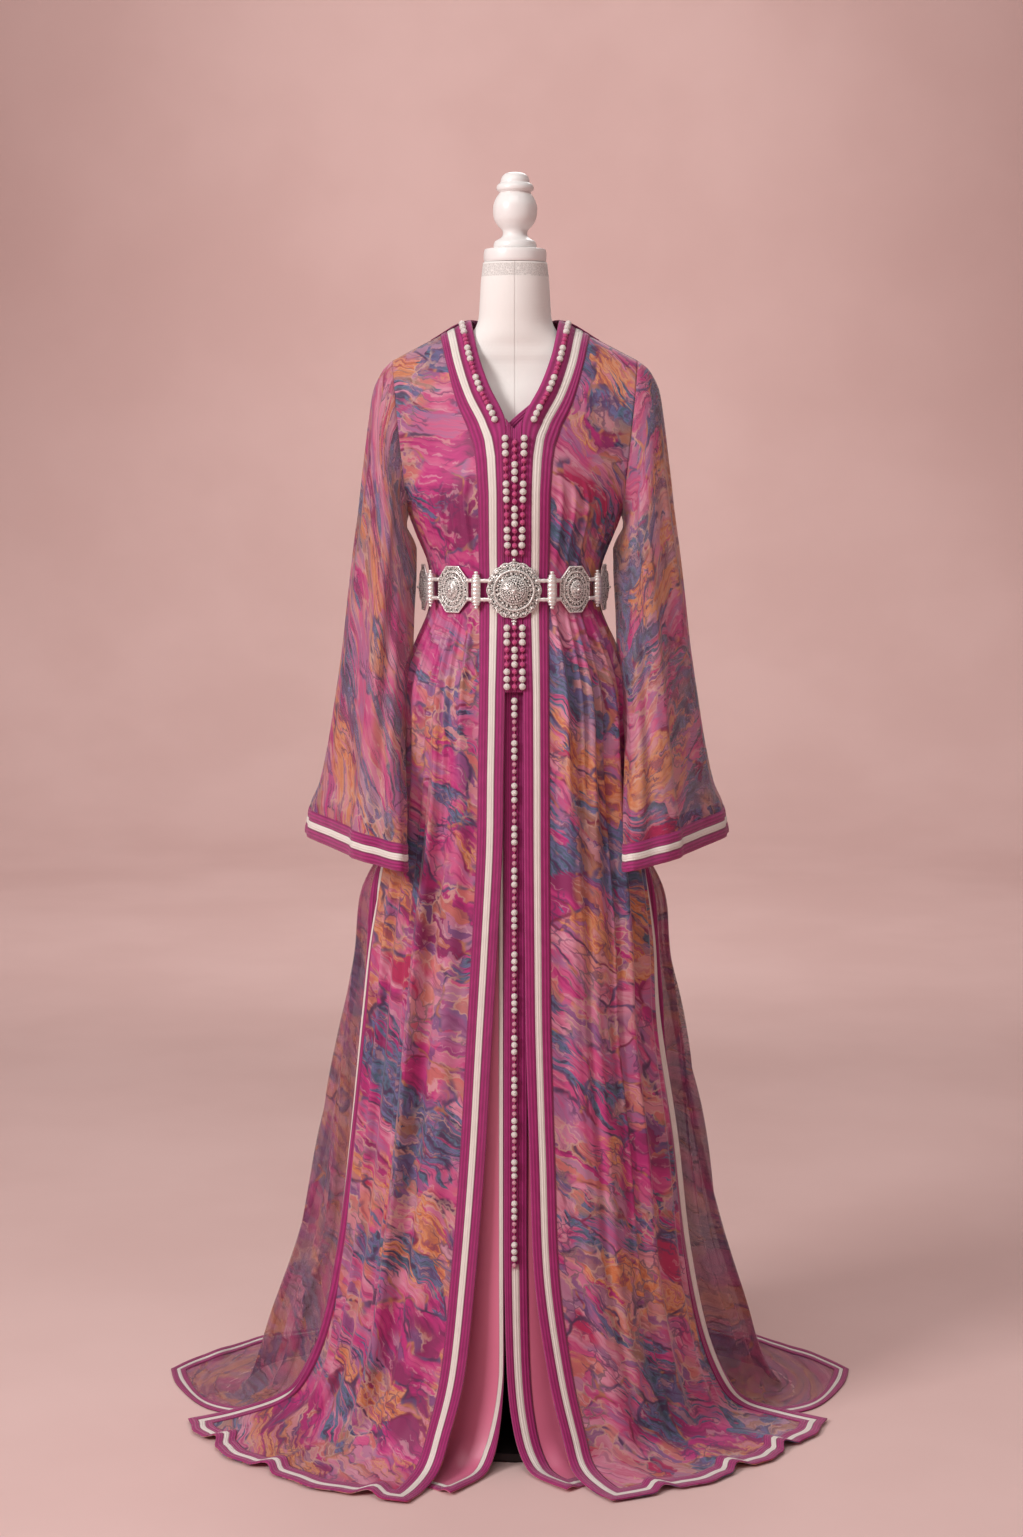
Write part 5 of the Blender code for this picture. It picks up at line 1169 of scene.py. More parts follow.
for side in ("left", "right"):
    edge_band(
        "braid_kaftan_" + side, outer[side], ("first", "hem", "slit_last"),
        ["braid_front_" + side, "braid_hem_" + side, "braid_slit_" + side],
    )
    edge_band("braid_sleeve_" + side, outer["sleeve_" + side], ("hem",), ["braid_cuff_" + side])
    covered = np.clip((inner[side].grid[..., 2] - 0.281) / 0.006, 0, 1) if side == "right" else None
    edge_band(
        "braid_dress_" + side, inner[side], ("first", "hem"),
        ["braid_inner_" + side, "braid_inner_hem_" + side], covered, 3 if side == "right" else 2,
    )
edge_band(
    "braid_train", outer["back"], ("slit_first", "slit_last", "hem"),
    ["braid_back_left", "braid_back_right", "braid_back_hem"],
)
edge_band("braid_dress_back", inner["back"], ("hem",), ["braid_inner_back_hem"])

# The neck band goes on round the back of the neck, from one shoulder seam to the other.
back = outer["back"]
near_neck = np.abs(back.grid[..., 0]) < 0.120
high = back.down < 0.046
depth = np.clip(back.down / 0.046, 0, 1) * 3
keep = (near_neck & high)[:-1, :-1] & (near_neck & high)[1:, 1:]
crown = BRAID_CROWN - (BRAID_CROWN - BRAID_EDGE) * np.abs(np.mod(depth, 1) * 2 - 1) ** 2
shell(
    "braid_neck_back", back.grid, back.grid + back.out * crown[..., None], back.grid + back.out * BRAID_LIFT,
    ribbed_braid, ["braid_back_neck"], np.stack((back.across, back.down), axis=-1) / 2, keep,
    {"stripe": depth, "dyed": np.zeros_like(depth)},
)

# Placket: a plain magenta strip between the two front edges, under the button columns.
left_edge, right_edge = outer["left"], outer["right"]
rows = np.linspace(3.95, 10.0, 90)


def edge_point(panel, row):
    """The point of a panel's front edge at a row."""
    return np.array([np.interp(row, panel.row[:, 0], panel.grid[:, 0, k]) for k in range(3)])


strip = []
for row in rows:
    a = edge_point(left_edge, row) + np.array((0.0004, 0.0, 0.0))
    b = edge_point(right_edge, row) - np.array((0.0004, 0.0, 0.0))
    strip.append([a + (b - a) * t for t in np.linspace(0, 1, 13)])
strip = np.array(strip)
dip = 0.016 * (1 - np.abs(np.linspace(-1, 1, 13)))
strip[:, :, 2] -= dip * np.clip(1 - (rows[:, None] - 3.95) / 1.0, 0, 1)
facing = np.tile(np.array((0.0, -1.0, 0.0)), (*strip.shape[:2], 1))
ridge = np.tile(0.0006 + 0.0006 * np.abs(np.sin(np.linspace(0, 3 * math.pi, 13))), (len(rows), 1))
strip_uv = np.stack((strip[..., 0], -strip[..., 2]), axis=-1) / 2
shell(
    "placket_strip", strip, strip + facing * ridge[..., None], strip, ribbed_braid,
    ["placket"],
    strip_uv, None, {"stripe": np.tile(np.linspace(0.02, 2.98, 13), (len(rows), 1)),
    "dyed": np.ones(strip.shape[:2])},
)

# Knot buttons: hand-tied silk knots on a cord, three white ones and then three magenta ones.
# They run down the neck edges, in three columns on the placket and in one down the dress.


def bead_nodes():
    """A node tree that sets one bead on every point, turned at random from a fixed seed."""
    tree = bpy.data.node_groups.new("set_beads", "GeometryNodeTree")
    face = tree.interface
    face.new_socket("Geometry", in_out="INPUT", socket_type="NodeSocketGeometry")
    keys = {
        "bead": face.new_socket("Bead", in_out="INPUT", socket_type="NodeSocketObject").identifier,
        "turning": face.new_socket("Turning", in_out="INPUT", socket_type="NodeSocketFloat").identifier,
        "finish": face.new_socket("Finish", in_out="INPUT", socket_type="NodeSocketMaterial").identifier,
    }
    face.new_socket("Geometry", in_out="OUTPUT", socket_type="NodeSocketGeometry")
    nodes, links = tree.nodes, tree.links
    start, end = nodes.new("NodeGroupInput"), nodes.new("NodeGroupOutput")
    bead = nodes.new("GeometryNodeObjectInfo")
    size = nodes.new("GeometryNodeInputNamedAttribute")
    size.data_type = "FLOAT"
    size.inputs["Name"].default_value = "size"
    chance = nodes.new("FunctionNodeRandomValue")
    chance.data_type = "FLOAT_VECTOR"
    chance.inputs["Seed"].default_value = 7
    turn = nodes.new("ShaderNodeVectorMath")
    turn.operation = "SCALE"
    place = nodes.new("GeometryNodeInstanceOnPoints")
    real = nodes.new("GeometryNodeRealizeInstances")
    paint_on = nodes.new("GeometryNodeSetMaterial")
    links.new(start.outputs["Bead"], bead.inputs["Object"])
    links.new(start.outputs["Geometry"], place.inputs["Points"])
    links.new(bead.outputs["Geometry"], place.inputs["Instance"])
    links.new(chance.outputs[0], turn.inputs[0])
    links.new(start.outputs["Turning"], turn.inputs["Scale"])
    links.new(turn.outputs[0], place.inputs["Rotation"])
    links.new(size.outputs["Attribute"], place.inputs["Scale"])
    links.new(place.outputs["Instances"], real.inputs["Geometry"])
    links.new(real.outputs["Geometry"], paint_on.inputs["Geometry"])
    links.new(start.outputs["Finish"], paint_on.inputs["Material"])
    links.new(paint_on.outputs["Geometry"], end.inputs[0])
    return tree, keys


bead_tree, bead_keys = bead_nodes()


def round_bead(name, detail, dents):
    """A bead one metre across, to be scaled, with small dents as a knot has."""
    mesh = bpy.data.meshes.new(name)
    work = bmesh.new()
    bmesh.ops.create_icosphere(work, subdivisions=detail, radius=0.5)
    for k, vertex in enumerate(work.verts):
        vertex.co *= 1 - dents * (k % 3 == 1)
    for face in work.faces:
        face.smooth = True
    work.to_mesh(mesh)
    work.free()
    thing = bpy.data.objects.new(name, mesh)
    bpy.context.scene.collection.objects.link(thing)
    return thing


def beads(name, centres, sizes, bead, look, replaced=(), values=None):
    """Beads on points, as one plain mesh."""
    points = bpy.data.meshes.new(name + "_points")
    points.from_pydata([tuple(c) for c in centres], [], [])
    for key, data in {"size": sizes, **(values or {})}.items():
        points.attributes.new(key, "FLOAT", "POINT").data.foreach_set(
            "value", np.asarray(data, dtype=np.float32)
        )
    source = bpy.data.objects.new(name + "_points", points)
    bpy.context.scene.collection.objects.link(source)
    setter = source.modifiers.new("beads", "NODES")
    setter.node_group = bead_tree
    setter[bead_keys["bead"]] = bead
    setter[bead_keys["turning"]] = 6.28
    setter[bead_keys["finish"]] = look
    source.update_tag()
    graph = bpy.context.evaluated_depsgraph_get()
    mesh = bpy.data.meshes.new_from_object(source.evaluated_get(graph))
    bpy.data.objects.remove(source, do_unlink=True)
    thing = bpy.data.objects.new(name, mesh)
    bpy.context.scene.collection.objects.link(thing)
    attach(thing, "root")
    if replaced:
        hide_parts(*replaced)
    return thing


def tube(line, radius, sides=6):
    """Points and faces of a round tube along a line, closed at both ends."""
    line = np.asarray(line, float)
    ahead = np.gradient(line, axis=0)
    ahead /= np.linalg.norm(ahead, axis=1, keepdims=True)
    guide = np.where(np.abs(ahead[:, 1:2]) < 0.9, np.array((0.0, 1.0, 0.0)), np.array((1.0, 0.0, 0.0)))
    side = np.cross(ahead, guide)
    side /= np.linalg.norm(side, axis=1, keepdims=True)
    up = np.cross(side, ahead)
    turns = 2 * np.pi * np.arange(sides) / sides
    radius = np.broadcast_to(np.asarray(radius, float), len(line))
    rings = line[:, None] + radius[:, None, None] * (
        np.cos(turns)[None, :, None] * side[:, None] + np.sin(turns)[None, :, None] * up[:, None]
    )
    faces = [tuple(range(sides)), tuple((len(line) - 1) * sides + s for s in reversed(range(sides)))]
    for k in range(len(line) - 1):
        for s in range(sides):
            t = (s + 1) % sides
            faces.append((k * sides + t, k * sides + s, (k + 1) * sides + s, (k + 1) * sides + t))
    return rings.reshape(-1, 3), faces


def joined(parts):
    """Several lots of points and faces as one."""
    points, faces, start = [], [], 0
    for some_points, some_faces in parts:
        points.append(np.asarray(some_points))
        faces += [tuple(int(i) + start for i in face) for face in some_faces]
        start += len(some_points)
    return np.concatenate(points), faces


silk = Look("knotted_silk", Roughness=0.42, Sheen_Weight=0.2, Specular_IOR_Level=0.55)
spot = silk.place()
whiteness = silk.node("Attribute", {"attribute_name": "white"}).output("Fac")
strands = silk.node("TexVoronoi", {"feature": "DISTANCE_TO_EDGE"}, {"Vector": spot, "Scale": 420.0})
creases = 1 - strands.step(0.02, 0.16)
# Painted shade: both the white and the magenta darkened in the creases between the knotted strands.
pale = silk.mix(creases * 0.6, (0.84, 0.79, 0.75), (0.50, 0.40, 0.38))
deep = silk.mix(creases * 0.5, (0.62, 0.055, 0.22), (0.26, 0.010, 0.09))
knotted_silk = silk.finish(strands.step(0.0, 0.35), 0.0008, 0.7, Base_Color=silk.mix(whiteness, deep, pale))

knot = round_bead("knot", 2, 0.05)
WHITE_KNOT = 0.0096
MAGENTA_KNOT = 0.0074
COLUMN_WHITE = 0.0098
COLUMN_MAGENTA = 0.0078
DRESS_KNOTS = 82
DRESS_WHITE = 0.0093
DRESS_PINK = 0.0070


def along_line(line, sizes):
    """Centres along a line for beads of given sizes, spread over its whole length."""
    ends = np.concatenate(([0.0], np.cumsum(sizes)))
    middles = (ends[:-1] + ends[1:]) / 2
    line = np.asarray(line)
    return at_lengths(line, middles / ends[-1] * lengths_along(line)[-1])


cord_parts = []
for side in ("left", "right"):
    panel = outer[side]
    rows = np.linspace(0.02, 4.0, 60)
    column = 2
    line = np.array([
        [np.interp(row, panel.row[:, column], panel.grid[:, column, k]) for k in range(3)] for row in rows
    ])
    ups = np.array([
        [np.interp(row, panel.row[:, column], panel.out[:, column, k]) for k in range(3)] for row in rows
    ])
    white = np.array([(k // 3) % 2 == 0 for k in range(21)])
    sizes = np.where(white, WHITE_KNOT, MAGENTA_KNOT)
    lifted = line + ups * (BRAID_CROWN + 0.0030)
    beads(
        "knots_neck_" + side, along_line(lifted, sizes), sizes, knot, knotted_silk,
        ["buttons_neck_" + side], {"white": white},
    )
    cord_parts.append(tube(line + ups * (BRAID_CROWN + 0.0009), 0.0011))

# Columns: name, x, count, top, bottom, first group white
COLUMNS = (
    ("left", -0.0114, 16, 1.448, 1.281, True),
    ("centre", -0.0007, 16, 1.442, 1.281, False),
    ("right", 0.0100, 16, 1.448, 1.281, True),
    ("lower_left", -0.0114, 9, 1.188, 1.098, True),
    ("lower_centre", -0.0007, 9, 1.188, 1.098, False),
    ("lower_right", 0.0100, 9, 1.188, 1.098, True),
)
for name, x, count, top, bottom, starts_white in COLUMNS:
    heights = np.linspace(top, bottom, 2 * count)
    depths = np.interp(-heights, -strip[:, 0, 2], strip[:, 0, 1])
    apart = (
        np.linspace(1.0, 1.0, len(heights)) if name.startswith("lower")
        else np.linspace(1.24, 0.90, len(heights))
    )
    line = np.stack((-0.0007 + (x + 0.0007) * apart, depths - 0.0012, heights), axis=1)
    white = np.array([((k // 3) % 2 == 0) == starts_white for k in range(count)])
    sizes = np.where(white, COLUMN_WHITE, COLUMN_MAGENTA)
    places = at_lengths(line, (np.arange(count) + 0.5) / count * lengths_along(line)[-1])
    places[:, 1] -= sizes / 2 - 0.0006
    beads(
        "knots_" + name, places, sizes, knot, knotted_silk, ["buttons_" + name],
        {"white": white},
    )
    line[:, 1] -= 0.0006
    cord_parts.append(tube(line, 0.0010))

panel = inner["right"]
heights = np.linspace(1.088, 0.284, 240)
depths = np.interp(-heights, -panel.grid[:, 5, 2], panel.grid[:, 5, 1])
line = np.stack((np.full_like(heights, -0.001), depths - BRAID_CROWN, heights), axis=1)
white = np.array([(k // 3) % 2 == 0 for k in range(DRESS_KNOTS)])
sizes = np.where(white, DRESS_WHITE, DRESS_PINK)
places = at_lengths(line, (np.arange(DRESS_KNOTS) + 0.5) / DRESS_KNOTS * lengths_along(line)[-1])
places[:, 1] -= sizes / 2 - 0.0008
beads(
    "knots_dress", places, sizes, knot, knotted_silk, ["buttons_inner"],
    {"white": np.where(white, 1.0, 0.35)},
)
cord_parts.append(tube(line - np.array((0, 0.0004, 0)), 0.0010))
cord_points, cord_faces = joined(cord_parts)
piece(
    "knot_cords", cord_points, cord_faces, knotted_silk,
    values={"white": np.zeros(len(cord_points))},
)
bpy.data.objects.remove(knot, do_unlink=True)

# Belt: cast silver plaques with filigree and granules, hinged to ribbed bars, and a domed round
# medallion as the clasp. It runs as one ring round the waist, a little off the cloth.
BELT_HALF_WIDTH = 0.1275
BELT_HALF_DEPTH = 0.1089
BELT_HEIGHT = 1.2345
BELT_SHIFT = -0.0015
PLAQUE_SIZE = (0.052, 0.065)
MEDALLION_SIZE = (0.077, 0.080)
FIRST_PLAQUE = 0.0905
FIRST_BAR = 0.0515
LOBES = 16

turns = np.linspace(-math.pi, math.pi, 2881)
ring = np.stack((BELT_HALF_WIDTH * np.sin(turns), -BELT_HALF_DEPTH * np.cos(turns)), axis=1)
ring_along = lengths_along(ring)
BELT_LENGTH = ring_along[-1]
ring_along = ring_along - BELT_LENGTH / 2


def on_belt(flat_points):
    """Points given by length along the belt, height and lift, placed on the belt's ring."""
    flat_points = np.asarray(flat_points, float)
    along = (flat_points[:, 0] + BELT_LENGTH / 2) % BELT_LENGTH - BELT_LENGTH / 2
    turn = np.interp(along, ring_along, turns)
    face = np.stack((np.sin(turn) / BELT_HALF_WIDTH, -np.cos(turn) / BELT_HALF_DEPTH), axis=1)
    face /= np.linalg.norm(face, axis=1, keepdims=True)
    x = BELT_HALF_WIDTH * np.sin(turn) + face[:, 0] * flat_points[:, 2] + BELT_SHIFT
    y = -BELT_HALF_DEPTH * np.cos(turn) + face[:, 1] * flat_points[:, 2]
    return np.stack((x, y, BELT_HEIGHT + flat_points[:, 1]), axis=1)


silver_look = Look("silver_filigree", Metallic=0.6, Roughness=0.36)
spot = silver_look.place()
web = silver_look.node("TexVoronoi", {"feature": "DISTANCE_TO_EDGE"}, {"Vector": spot, "Scale": 330.0})
wires = 1 - web.step(0.05, 0.17)
pits = silver_look.node("Attribute", {"attribute_name": "pits"}).output("Fac")
tarnish = silver_look.noise(spot, 160.0, 3.0)
bright = silver_look.mix(tarnish, (0.78, 0.755, 0.72), (0.96, 0.945, 0.915))
silver_colour = silver_look.mix(pits * (1 - wires), bright, (0.045, 0.036, 0.032))
silver_filigree = silver_look.finish(
    wires * pits, 0.0007, 0.9, Base_Color=silver_colour, Roughness=pits * (1 - wires) * 0.3 + 0.30
)


def octagon(turn):
    """Reach of the plaque's outline at a turn, as shares of its half width and half height."""
    c, s = abs(math.cos(turn)), abs(math.sin(turn))
    flat_side = 1.0 / max(c, 1e-6)
    flat_top = 1.0 / max(s, 1e-6)
    corner = 1.42 / (c + s)
    return min(flat_side, flat_top, corner)


def lobed(turn):
    """Reach of the medallion's scalloped outline at a turn."""
    return 0.955 + 0.045 * abs(math.cos(turn * LOBES / 2))


def dish(middle, size, outline, levels, sides=96):
    """A plaque from levels of share, lift, roundness and pits, closed at the back and front."""
    points, tags, faces = [], [], []
    for share, lift, roundness, pit in levels:
        for s in range(sides):
            turn = 2 * math.pi * s / sides
            reach = outline(turn) * (1 - roundness) + roundness
            points.append((
                middle + size[0] / 2 * share * reach * math.cos(turn),
                size[1] / 2 * share * reach * math.sin(turn),
                lift,
            ))
            tags.append(pit)
    for k in range(len(levels) - 1):
        for s in range(sides):
            t = (s + 1) % sides
            faces.append((k * sides + s, k * sides + t, (k + 1) * sides + t, (k + 1) * sides + s))
    faces.append(tuple(reversed(range(sides))))
    last = (len(levels) - 1) * sides
    faces.append(tuple(last + s for s in range(sides)))
    return on_belt(points), faces, tags


def granule_ring(middle, size, outline, share, lift, roundness, count, bead_size, offset=0.0):
    """Places and sizes of a ring of granules on a plaque."""
    spots = []
    for k in range(count):
        turn = 2 * math.pi * (k + offset) / count
        reach = outline(turn) * (1 - roundness) + roundness
        spots.append((
            middle + size[0] / 2 * share * reach * math.cos(turn),
            size[1] / 2 * share * reach * math.sin(turn),
            lift,
        ))
    return on_belt(spots), [bead_size] * count


def scroll(middle, size, outline, inner_share, outer_share, lift, roundness, turn, width):
    """One coiled wire between two rings of a plaque, as a tube."""
    line = []
    for step in np.linspace(0, 1, 15):
        coil = turn + width * math.sin(step * 2 * math.pi) * (1 - 0.45 * step)
        share = (
            inner_share + (outer_share - inner_share) * (0.5 - 0.5 * math.cos(step * 1.5 * math.pi))
            * (1 - 0.2 * step)
        )
        reach = outline(coil) * (1 - roundness) + roundness
        line.append((
            middle + size[0] / 2 * share * reach * math.cos(coil),
            size[1] / 2 * share * reach * math.sin(coil),
            lift + 0.0003 * step,
        ))
    return tube(on_belt(line), 0.00055, 4)


# Levels: share, lift, roundness, pits
PLAQUE_LEVELS = (
    (0.97, 0.0008, 0.0, 0.0), (1.0, 0.0012, 0.0, 0.0), (1.0, 0.0028, 0.0, 0.0), (0.975, 0.0033, 0.0, 0.0),
    (0.945, 0.0030, 0.0, 0.2), (0.93, 0.0024, 0.0, 1.0), (0.80, 0.0024, 0.25, 1.0), (0.78, 0.0032, 0.45, 0.1),
    (0.755, 0.0036, 0.55, 0.0), (0.73, 0.0032, 0.65, 0.2),
    (0.71, 0.0025, 0.75, 1.0), (0.585, 0.0027, 1.0, 1.0),
    (0.565, 0.0037, 1.0, 0.1), (0.54, 0.0041, 1.0, 0.0), (0.515, 0.0038, 1.0, 0.3), (0.50, 0.0033, 1.0, 1.0),
    (0.40, 0.0040, 1.0, 1.0), (0.385, 0.0050, 1.0, 0.1), (0.35, 0.0056, 1.0, 0.3), (0.26, 0.0070, 1.0, 0.8),
    (0.16, 0.0079, 1.0, 0.8), (0.06, 0.0083, 1.0, 0.4),
)
MEDALLION_LEVELS = (
    (0.97, -0.0003, 0.0, 0.0), (1.0, 0.0004, 0.0, 0.0), (1.0, 0.0016, 0.0, 0.0), (0.98, 0.0022, 0.0, 0.1),
    (0.955, 0.0022, 0.1, 0.6), (0.93, 0.0024, 0.2, 1.0), (0.80, 0.0044, 0.6, 1.0), (0.73, 0.0058, 0.9, 1.0),
    (0.71, 0.0072, 1.0, 0.2), (0.685, 0.0077, 1.0, 0.0), (0.66, 0.0072, 1.0, 0.2), (0.645, 0.0060, 1.0, 1.0),
    (0.50, 0.0064, 1.0, 1.0), (0.485, 0.0088, 1.0, 0.2), (0.46, 0.0098, 1.0, 0.1), (0.43, 0.0112, 1.0, 1.0),
    (0.36, 0.0134, 1.0, 1.0), (0.28, 0.0150, 1.0, 1.0), (0.20, 0.0163, 1.0, 1.0), (0.12, 0.0171, 1.0, 0.7),
    (0.05, 0.0175, 1.0, 0.2),
)

spacing = (BELT_LENGTH - 2 * FIRST_PLAQUE) / 7
plaque_middles = sorted(
    [FIRST_PLAQUE + k * spacing for k in range(4)] + [-FIRST_PLAQUE - k * spacing for k in range(4)]
)
granules, granule_sizes = [], []


def add_granules(*rings_of_granules):
    """Keeps rings of granules for the one mesh that holds them all."""
    for places, sizes in rings_of_granules:
        granules.append(places)
        granule_sizes.extend(sizes)


plates, scrolls, tags = [], [], []
for middle in plaque_middles:
    points, faces, pits_here = dish(middle, PLAQUE_SIZE, octagon, PLAQUE_LEVELS)
    plates.append((points, faces))
    tags += pits_here
    add_granules(
        granule_ring(middle, PLAQUE_SIZE, octagon, 0.955, 0.0032, 0.0, 56, 0.0021),
        granule_ring(middle, PLAQUE_SIZE, octagon, 0.745, 0.0036, 0.60, 44, 0.0018),
        granule_ring(middle, PLAQUE_SIZE, octagon, 0.62, 0.0034, 0.95, 22, 0.0026),
        granule_ring(middle, PLAQUE_SIZE, octagon, 0.54, 0.0042, 1.0, 34, 0.0017),
        granule_ring(middle, PLAQUE_SIZE, octagon, 0.37, 0.0055, 1.0, 24, 0.0017),
        granule_ring(middle, PLAQUE_SIZE, octagon, 0.24, 0.0074, 1.0, 14, 0.0018),
        granule_ring(middle, PLAQUE_SIZE, octagon, 0.0, 0.0090, 1.0, 1, 0.0044),
    )
    for k in range(16):
        scrolls.append(scroll(
            middle, PLAQUE_SIZE, octagon, 0.80, 0.93, 0.0030, 0.15, 2 * math.pi * (k + 0.5) / 16, 0.14
        ))
points, faces = joined(plates)
piece(
    "belt_plaques", points, faces, silver_filigree, ["belt_plaque_%d" % k for k in range(1, 9)],
    values={"pits": tags},
)

points, faces, tags = dish(0.0, MEDALLION_SIZE, lobed, MEDALLION_LEVELS, 160)
piece("belt_clasp", points, faces, silver_filigree, ["belt_medallion"], values={"pits": tags})
add_granules(
    granule_ring(0.0, MEDALLION_SIZE, lobed, 0.965, 0.0028, 0.0, 80, 0.0024),
    granule_ring(0.0, MEDALLION_SIZE, lobed, 0.87, 0.0048, 0.3, LOBES, 0.0046),
    granule_ring(0.0, MEDALLION_SIZE, lobed, 0.80, 0.0058, 0.5, LOBES, 0.0030, 0.5),
    granule_ring(0.0, MEDALLION_SIZE, lobed, 0.685, 0.0079, 1.0, 64, 0.0021),
    granule_ring(0.0, MEDALLION_SIZE, lobed, 0.575, 0.0070, 1.0, 22, 0.0036),
    granule_ring(0.0, MEDALLION_SIZE, lobed, 0.465, 0.0100, 1.0, 44, 0.0020),
    granule_ring(0.0, MEDALLION_SIZE, lobed, 0.38, 0.0130, 1.0, 30, 0.0024),
    granule_ring(0.0, MEDALLION_SIZE, lobed, 0.30, 0.0148, 1.0, 22, 0.0024, 0.5),
    granule_ring(0.0, MEDALLION_SIZE, lobed, 0.215, 0.0163, 1.0, 15, 0.0024),
    granule_ring(0.0, MEDALLION_SIZE, lobed, 0.14, 0.0172, 1.0, 9, 0.0022, 0.5),
    granule_ring(0.0, MEDALLION_SIZE, lobed, 0.0, 0.0190, 1.0, 1, 0.0056),
    (on_belt([(0, 0.0418, 0.0030), (0, -0.0425, 0.0030)]), [0.0052, 0.0046]),
    (on_belt([(0, -0.0466, 0.0034), (0.0024, -0.0428, 0.0030), (-0.0024, -0.0428, 0.0030)]),
    [0.0060, 0.0028, 0.0028]),
)
for k in range(2 * LOBES):
    scrolls.append(scroll(
        0.0, MEDALLION_SIZE, lobed, 0.76, 0.95, 0.0052, 0.4, 2 * math.pi * (k + 0.5) / (2 * LOBES), 0.085
    ))
points, faces = joined(scrolls)
piece("belt_scrolls", points, faces, silver_filigree, values={"pits": np.zeros(len(points))})

# Columns: radius, share of the bar's half height
BAR = (
    (0.0006, 1.00), (0.0022, 0.985), (0.0030, 0.94), (0.0030, 0.90), (0.0022, 0.865), (0.0016, 0.85),
    (0.0030, 0.835), (0.0042, 0.80), (0.0050, 0.77), (0.0050, 0.74), (0.0040, 0.715), (0.0052, 0.69),
    (0.0060, 0.65), (0.0060, 0.57), (0.0054, 0.55), (0.0062, 0.53), (0.0063, 0.36), (0.0056, 0.34),
    (0.0063, 0.32), (0.0065, 0.12), (0.0058, 0.10), (0.0065, 0.08), (0.0065, 0.0),
)
BAR_HALF = 0.0262
bars = []
bar_middles = [FIRST_BAR, -FIRST_BAR, BELT_LENGTH / 2]
bar_middles += [sign * (FIRST_PLAQUE + (k + 0.5) * spacing) for k in range(3) for sign in (1, -1)]
BAR_SIDES = 16
whole_bar = list(BAR) + [(radius, -share) for radius, share in reversed(BAR[:-1])]
for middle in bar_middles:
    points, faces = [], [tuple(range(BAR_SIDES))]
    for radius, share in whole_bar:
        for s in range(BAR_SIDES):
            turn = 2 * math.pi * s / BAR_SIDES
            points.append(
                (middle + radius * math.sin(turn), BAR_HALF * share, 0.0060 + 0.85 * radius * math.cos(turn))
            )
    count = len(whole_bar)
    for k in range(count - 1):
        for s in range(BAR_SIDES):
            t = (s + 1) % BAR_SIDES
            faces.append(
                (k * BAR_SIDES + t, k * BAR_SIDES + s, (k + 1) * BAR_SIDES + s, (k + 1) * BAR_SIDES + t)
            )
    faces.append(tuple((count - 1) * BAR_SIDES + s for s in reversed(range(BAR_SIDES))))
    bars.append((on_belt(points), faces))
    near = abs(abs(middle) - FIRST_BAR) < 1e-6
    reach = {1: spacing / 2 - PLAQUE_SIZE[0] / 2, -1: spacing / 2 - PLAQUE_SIZE[0] / 2}
    if near:
        away = 1 if middle > 0 else -1
        reach = {away: FIRST_PLAQUE - FIRST_BAR - PLAQUE_SIZE[0] / 2, -away: FIRST_BAR - 0.45 * MEDALLION_SIZE[0]}
    for way, length in reach.items():
        for up in (0.0130, -0.0130):
            line = [(middle + way * (0.003 + (length - 0.001) * t), up, 0.0046 - 0.0026 * t) for t in np.linspace(0, 1, 7)]
            bars.append(tube(on_belt(line), [0.0034, 0.0028, 0.0026, 0.0032, 0.0026, 0.0028, 0.0034], 10))
points, faces = joined(bars)
piece(
    "belt_bars", points, faces, silver_filigree, ["belt_spindle_%d" % k for k in range(1, 10)],
    values={"pits": np.zeros(len(points))},
)
granule = round_bead("granule", 1, 0.0)
beads(
    "belt_granules", np.concatenate(granules), granule_sizes, granule, silver_filigree,
    values={"pits": np.zeros(len(granule_sizes))},
)
bpy.data.objects.remove(granule, do_unlink=True)

# Floor, light and camera: one plain pale floor that curves up into a round backdrop, soft
# studio light from high in front, and the camera at the photograph's angle, 3.8 m away.
FLOOR_REACH = 5.6
CURVE = 2.2
WALL_TOP = 6.5
BACKDROP_TURNS = 96

outline = [(0.0, 0.0), (FLOOR_REACH * 0.5, 0.0)]
for step in np.linspace(0, math.pi / 2, 13):
    outline.append((FLOOR_REACH + CURVE * math.sin(step), CURVE * (1 - math.cos(step))))
outline.append((FLOOR_REACH + CURVE, WALL_TOP))
points, faces = [(0.0, 0.0, 0.0)], []
for radius, height in outline[1:]:
    for k in range(BACKDROP_TURNS):
        turn = 2 * math.pi * k / BACKDROP_TURNS
        points.append((radius * math.cos(turn), radius * math.sin(turn), height))
for k in range(BACKDROP_TURNS):
    n = (k + 1) % BACKDROP_TURNS
    faces.append((0, 1 + k, 1 + n))
    for ring in range(len(outline) - 2):
        low, high = 1 + ring * BACKDROP_TURNS, 1 + (ring + 1) * BACKDROP_TURNS
        faces.append((low + k, high + k, high + n, low + n))
backdrop_mesh = bpy.data.meshes.new("backdrop")
backdrop_mesh.from_pydata(points, [], faces)
backdrop_mesh.polygons.foreach_set("use_smooth", [True] * len(faces))
plaster = Look("pale_backdrop", Roughness=0.95, Specular_IOR_Level=0.1)
spot = plaster.place()
mottle = plaster.noise(spot, 1.6, 5.0)
across, _, height = plaster.parts(spot)
canvas = plaster.mix(mottle.step(0.3, 0.7), (0.690, 0.478, 0.450), (0.735, 0.520, 0.492))
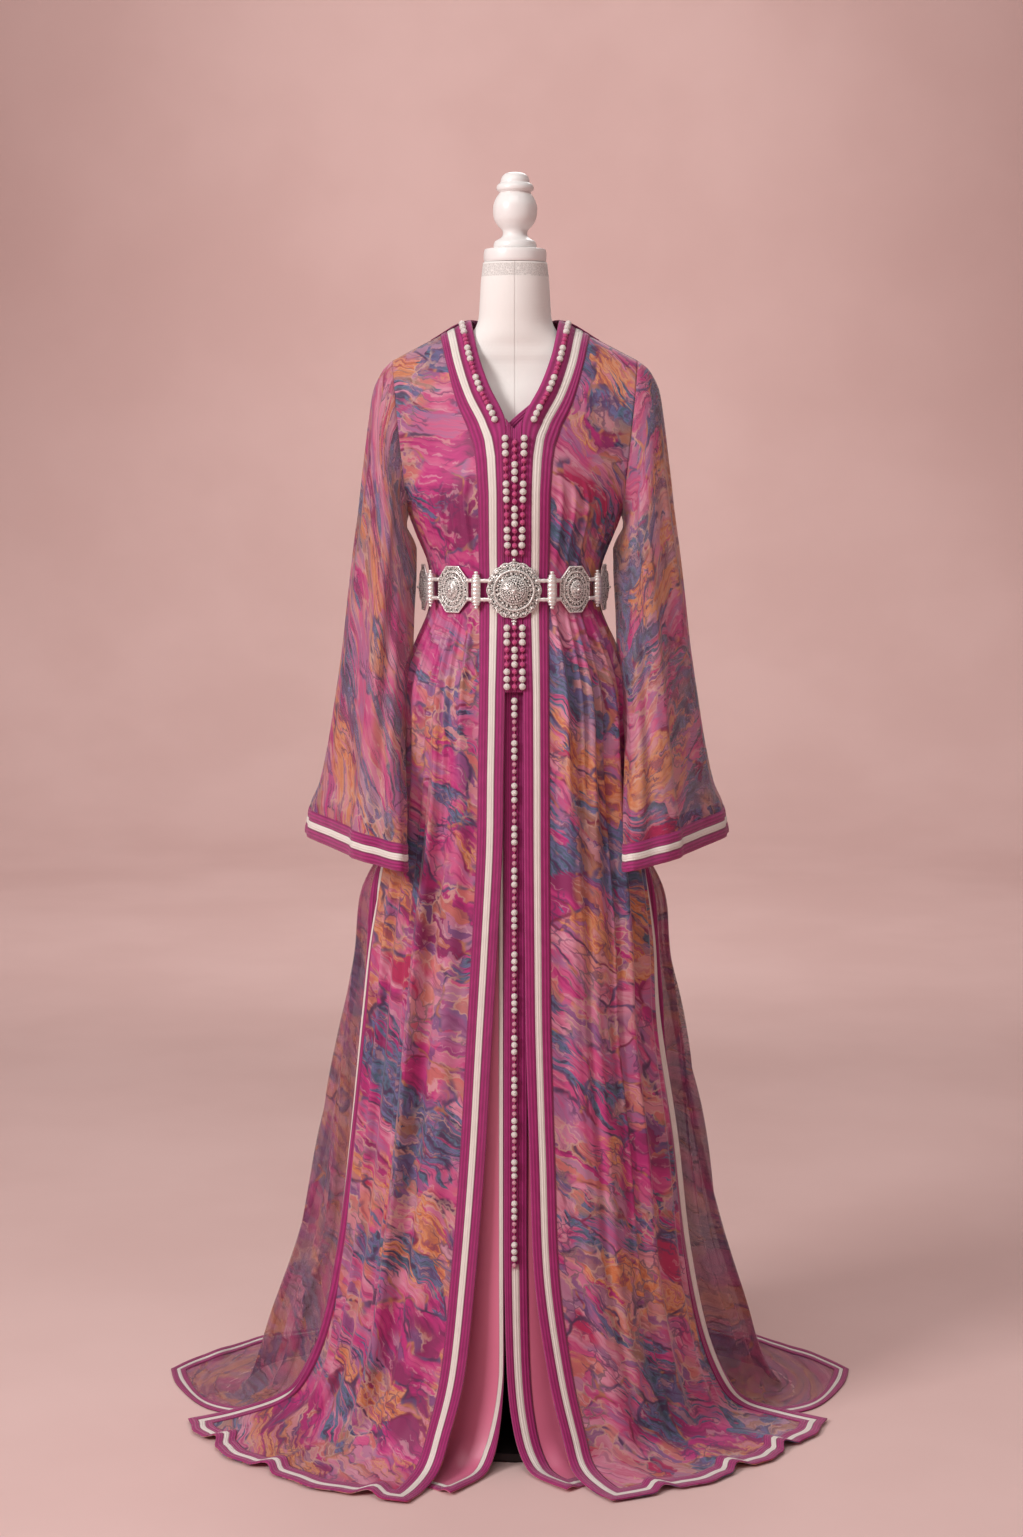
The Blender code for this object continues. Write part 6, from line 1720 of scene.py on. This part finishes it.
# Painted shade: the wall darkened towards its sides and top.
backdrop_mesh.materials.append(plaster.finish(
    Base_Color=plaster.mix(across.size().step(0.4, 3.0) * height.step(-0.2, 2.4) * 0.8,
    canvas, (0.40, 0.25, 0.235))
))
backdrop = bpy.data.objects.new("backdrop", backdrop_mesh)
bpy.context.scene.collection.objects.link(backdrop)

world = bpy.data.worlds.new("studio")
world.use_nodes = True
world.node_tree.nodes["Background"].inputs["Color"].default_value = (1.0, 0.96, 0.94, 1.0)
world.node_tree.nodes["Background"].inputs["Strength"].default_value = 0.36
bpy.context.scene.world = world

# Columns: place, target, size, power, spread in degrees
LAMPS = (
    ((-4.4, -3.9, 3.8), (0.0, 0.0, 1.0), 1.9, 285.0, 180.0),
    ((2.9, -2.6, 2.2), (0.0, 0.0, 0.9), 2.2, 8.0, 180.0),
    ((-0.5, -2.2, 4.2), (-0.2, -1.4, 0.0), 2.2, 20.0, 110.0),
    ((0.3, 2.4, 3.6), (0.0, 0.0, 1.2), 1.6, 30.0, 180.0),
    ((0.0, 2.6, 3.6), (0.0, 7.8, 2.0), 2.4, 88.0, 150.0),
)
for place, target, size, power, spread in LAMPS:
    lamp = bpy.data.lights.new("softbox", "AREA")
    lamp.size, lamp.energy, lamp.spread = size, power, math.radians(spread)
    lamp.color = (1.0, 0.98, 0.965)
    stand = bpy.data.objects.new("softbox", lamp)
    way = np.array(target) - np.array(place)
    stand.location = place
    stand.rotation_euler = (
        math.acos(-way[2] / np.linalg.norm(way)), 0.0, math.atan2(-way[0], way[1]),
    )
    bpy.context.scene.collection.objects.link(stand)
bpy.context.scene.view_settings.view_transform = "Standard"

CAMERA_PLACE = (-0.00497, -3.8, 1.42)
CAMERA_TIP = 6.69096
camera = bpy.data.cameras.new("camera")
camera.lens = 62.6076
camera.sensor_width = 36.0
eye = bpy.data.objects.new("camera", camera)
eye.location = CAMERA_PLACE
eye.rotation_euler = (math.radians(90 - CAMERA_TIP), 0.0, 0.0)
bpy.context.scene.collection.objects.link(eye)
bpy.context.scene.camera = eye
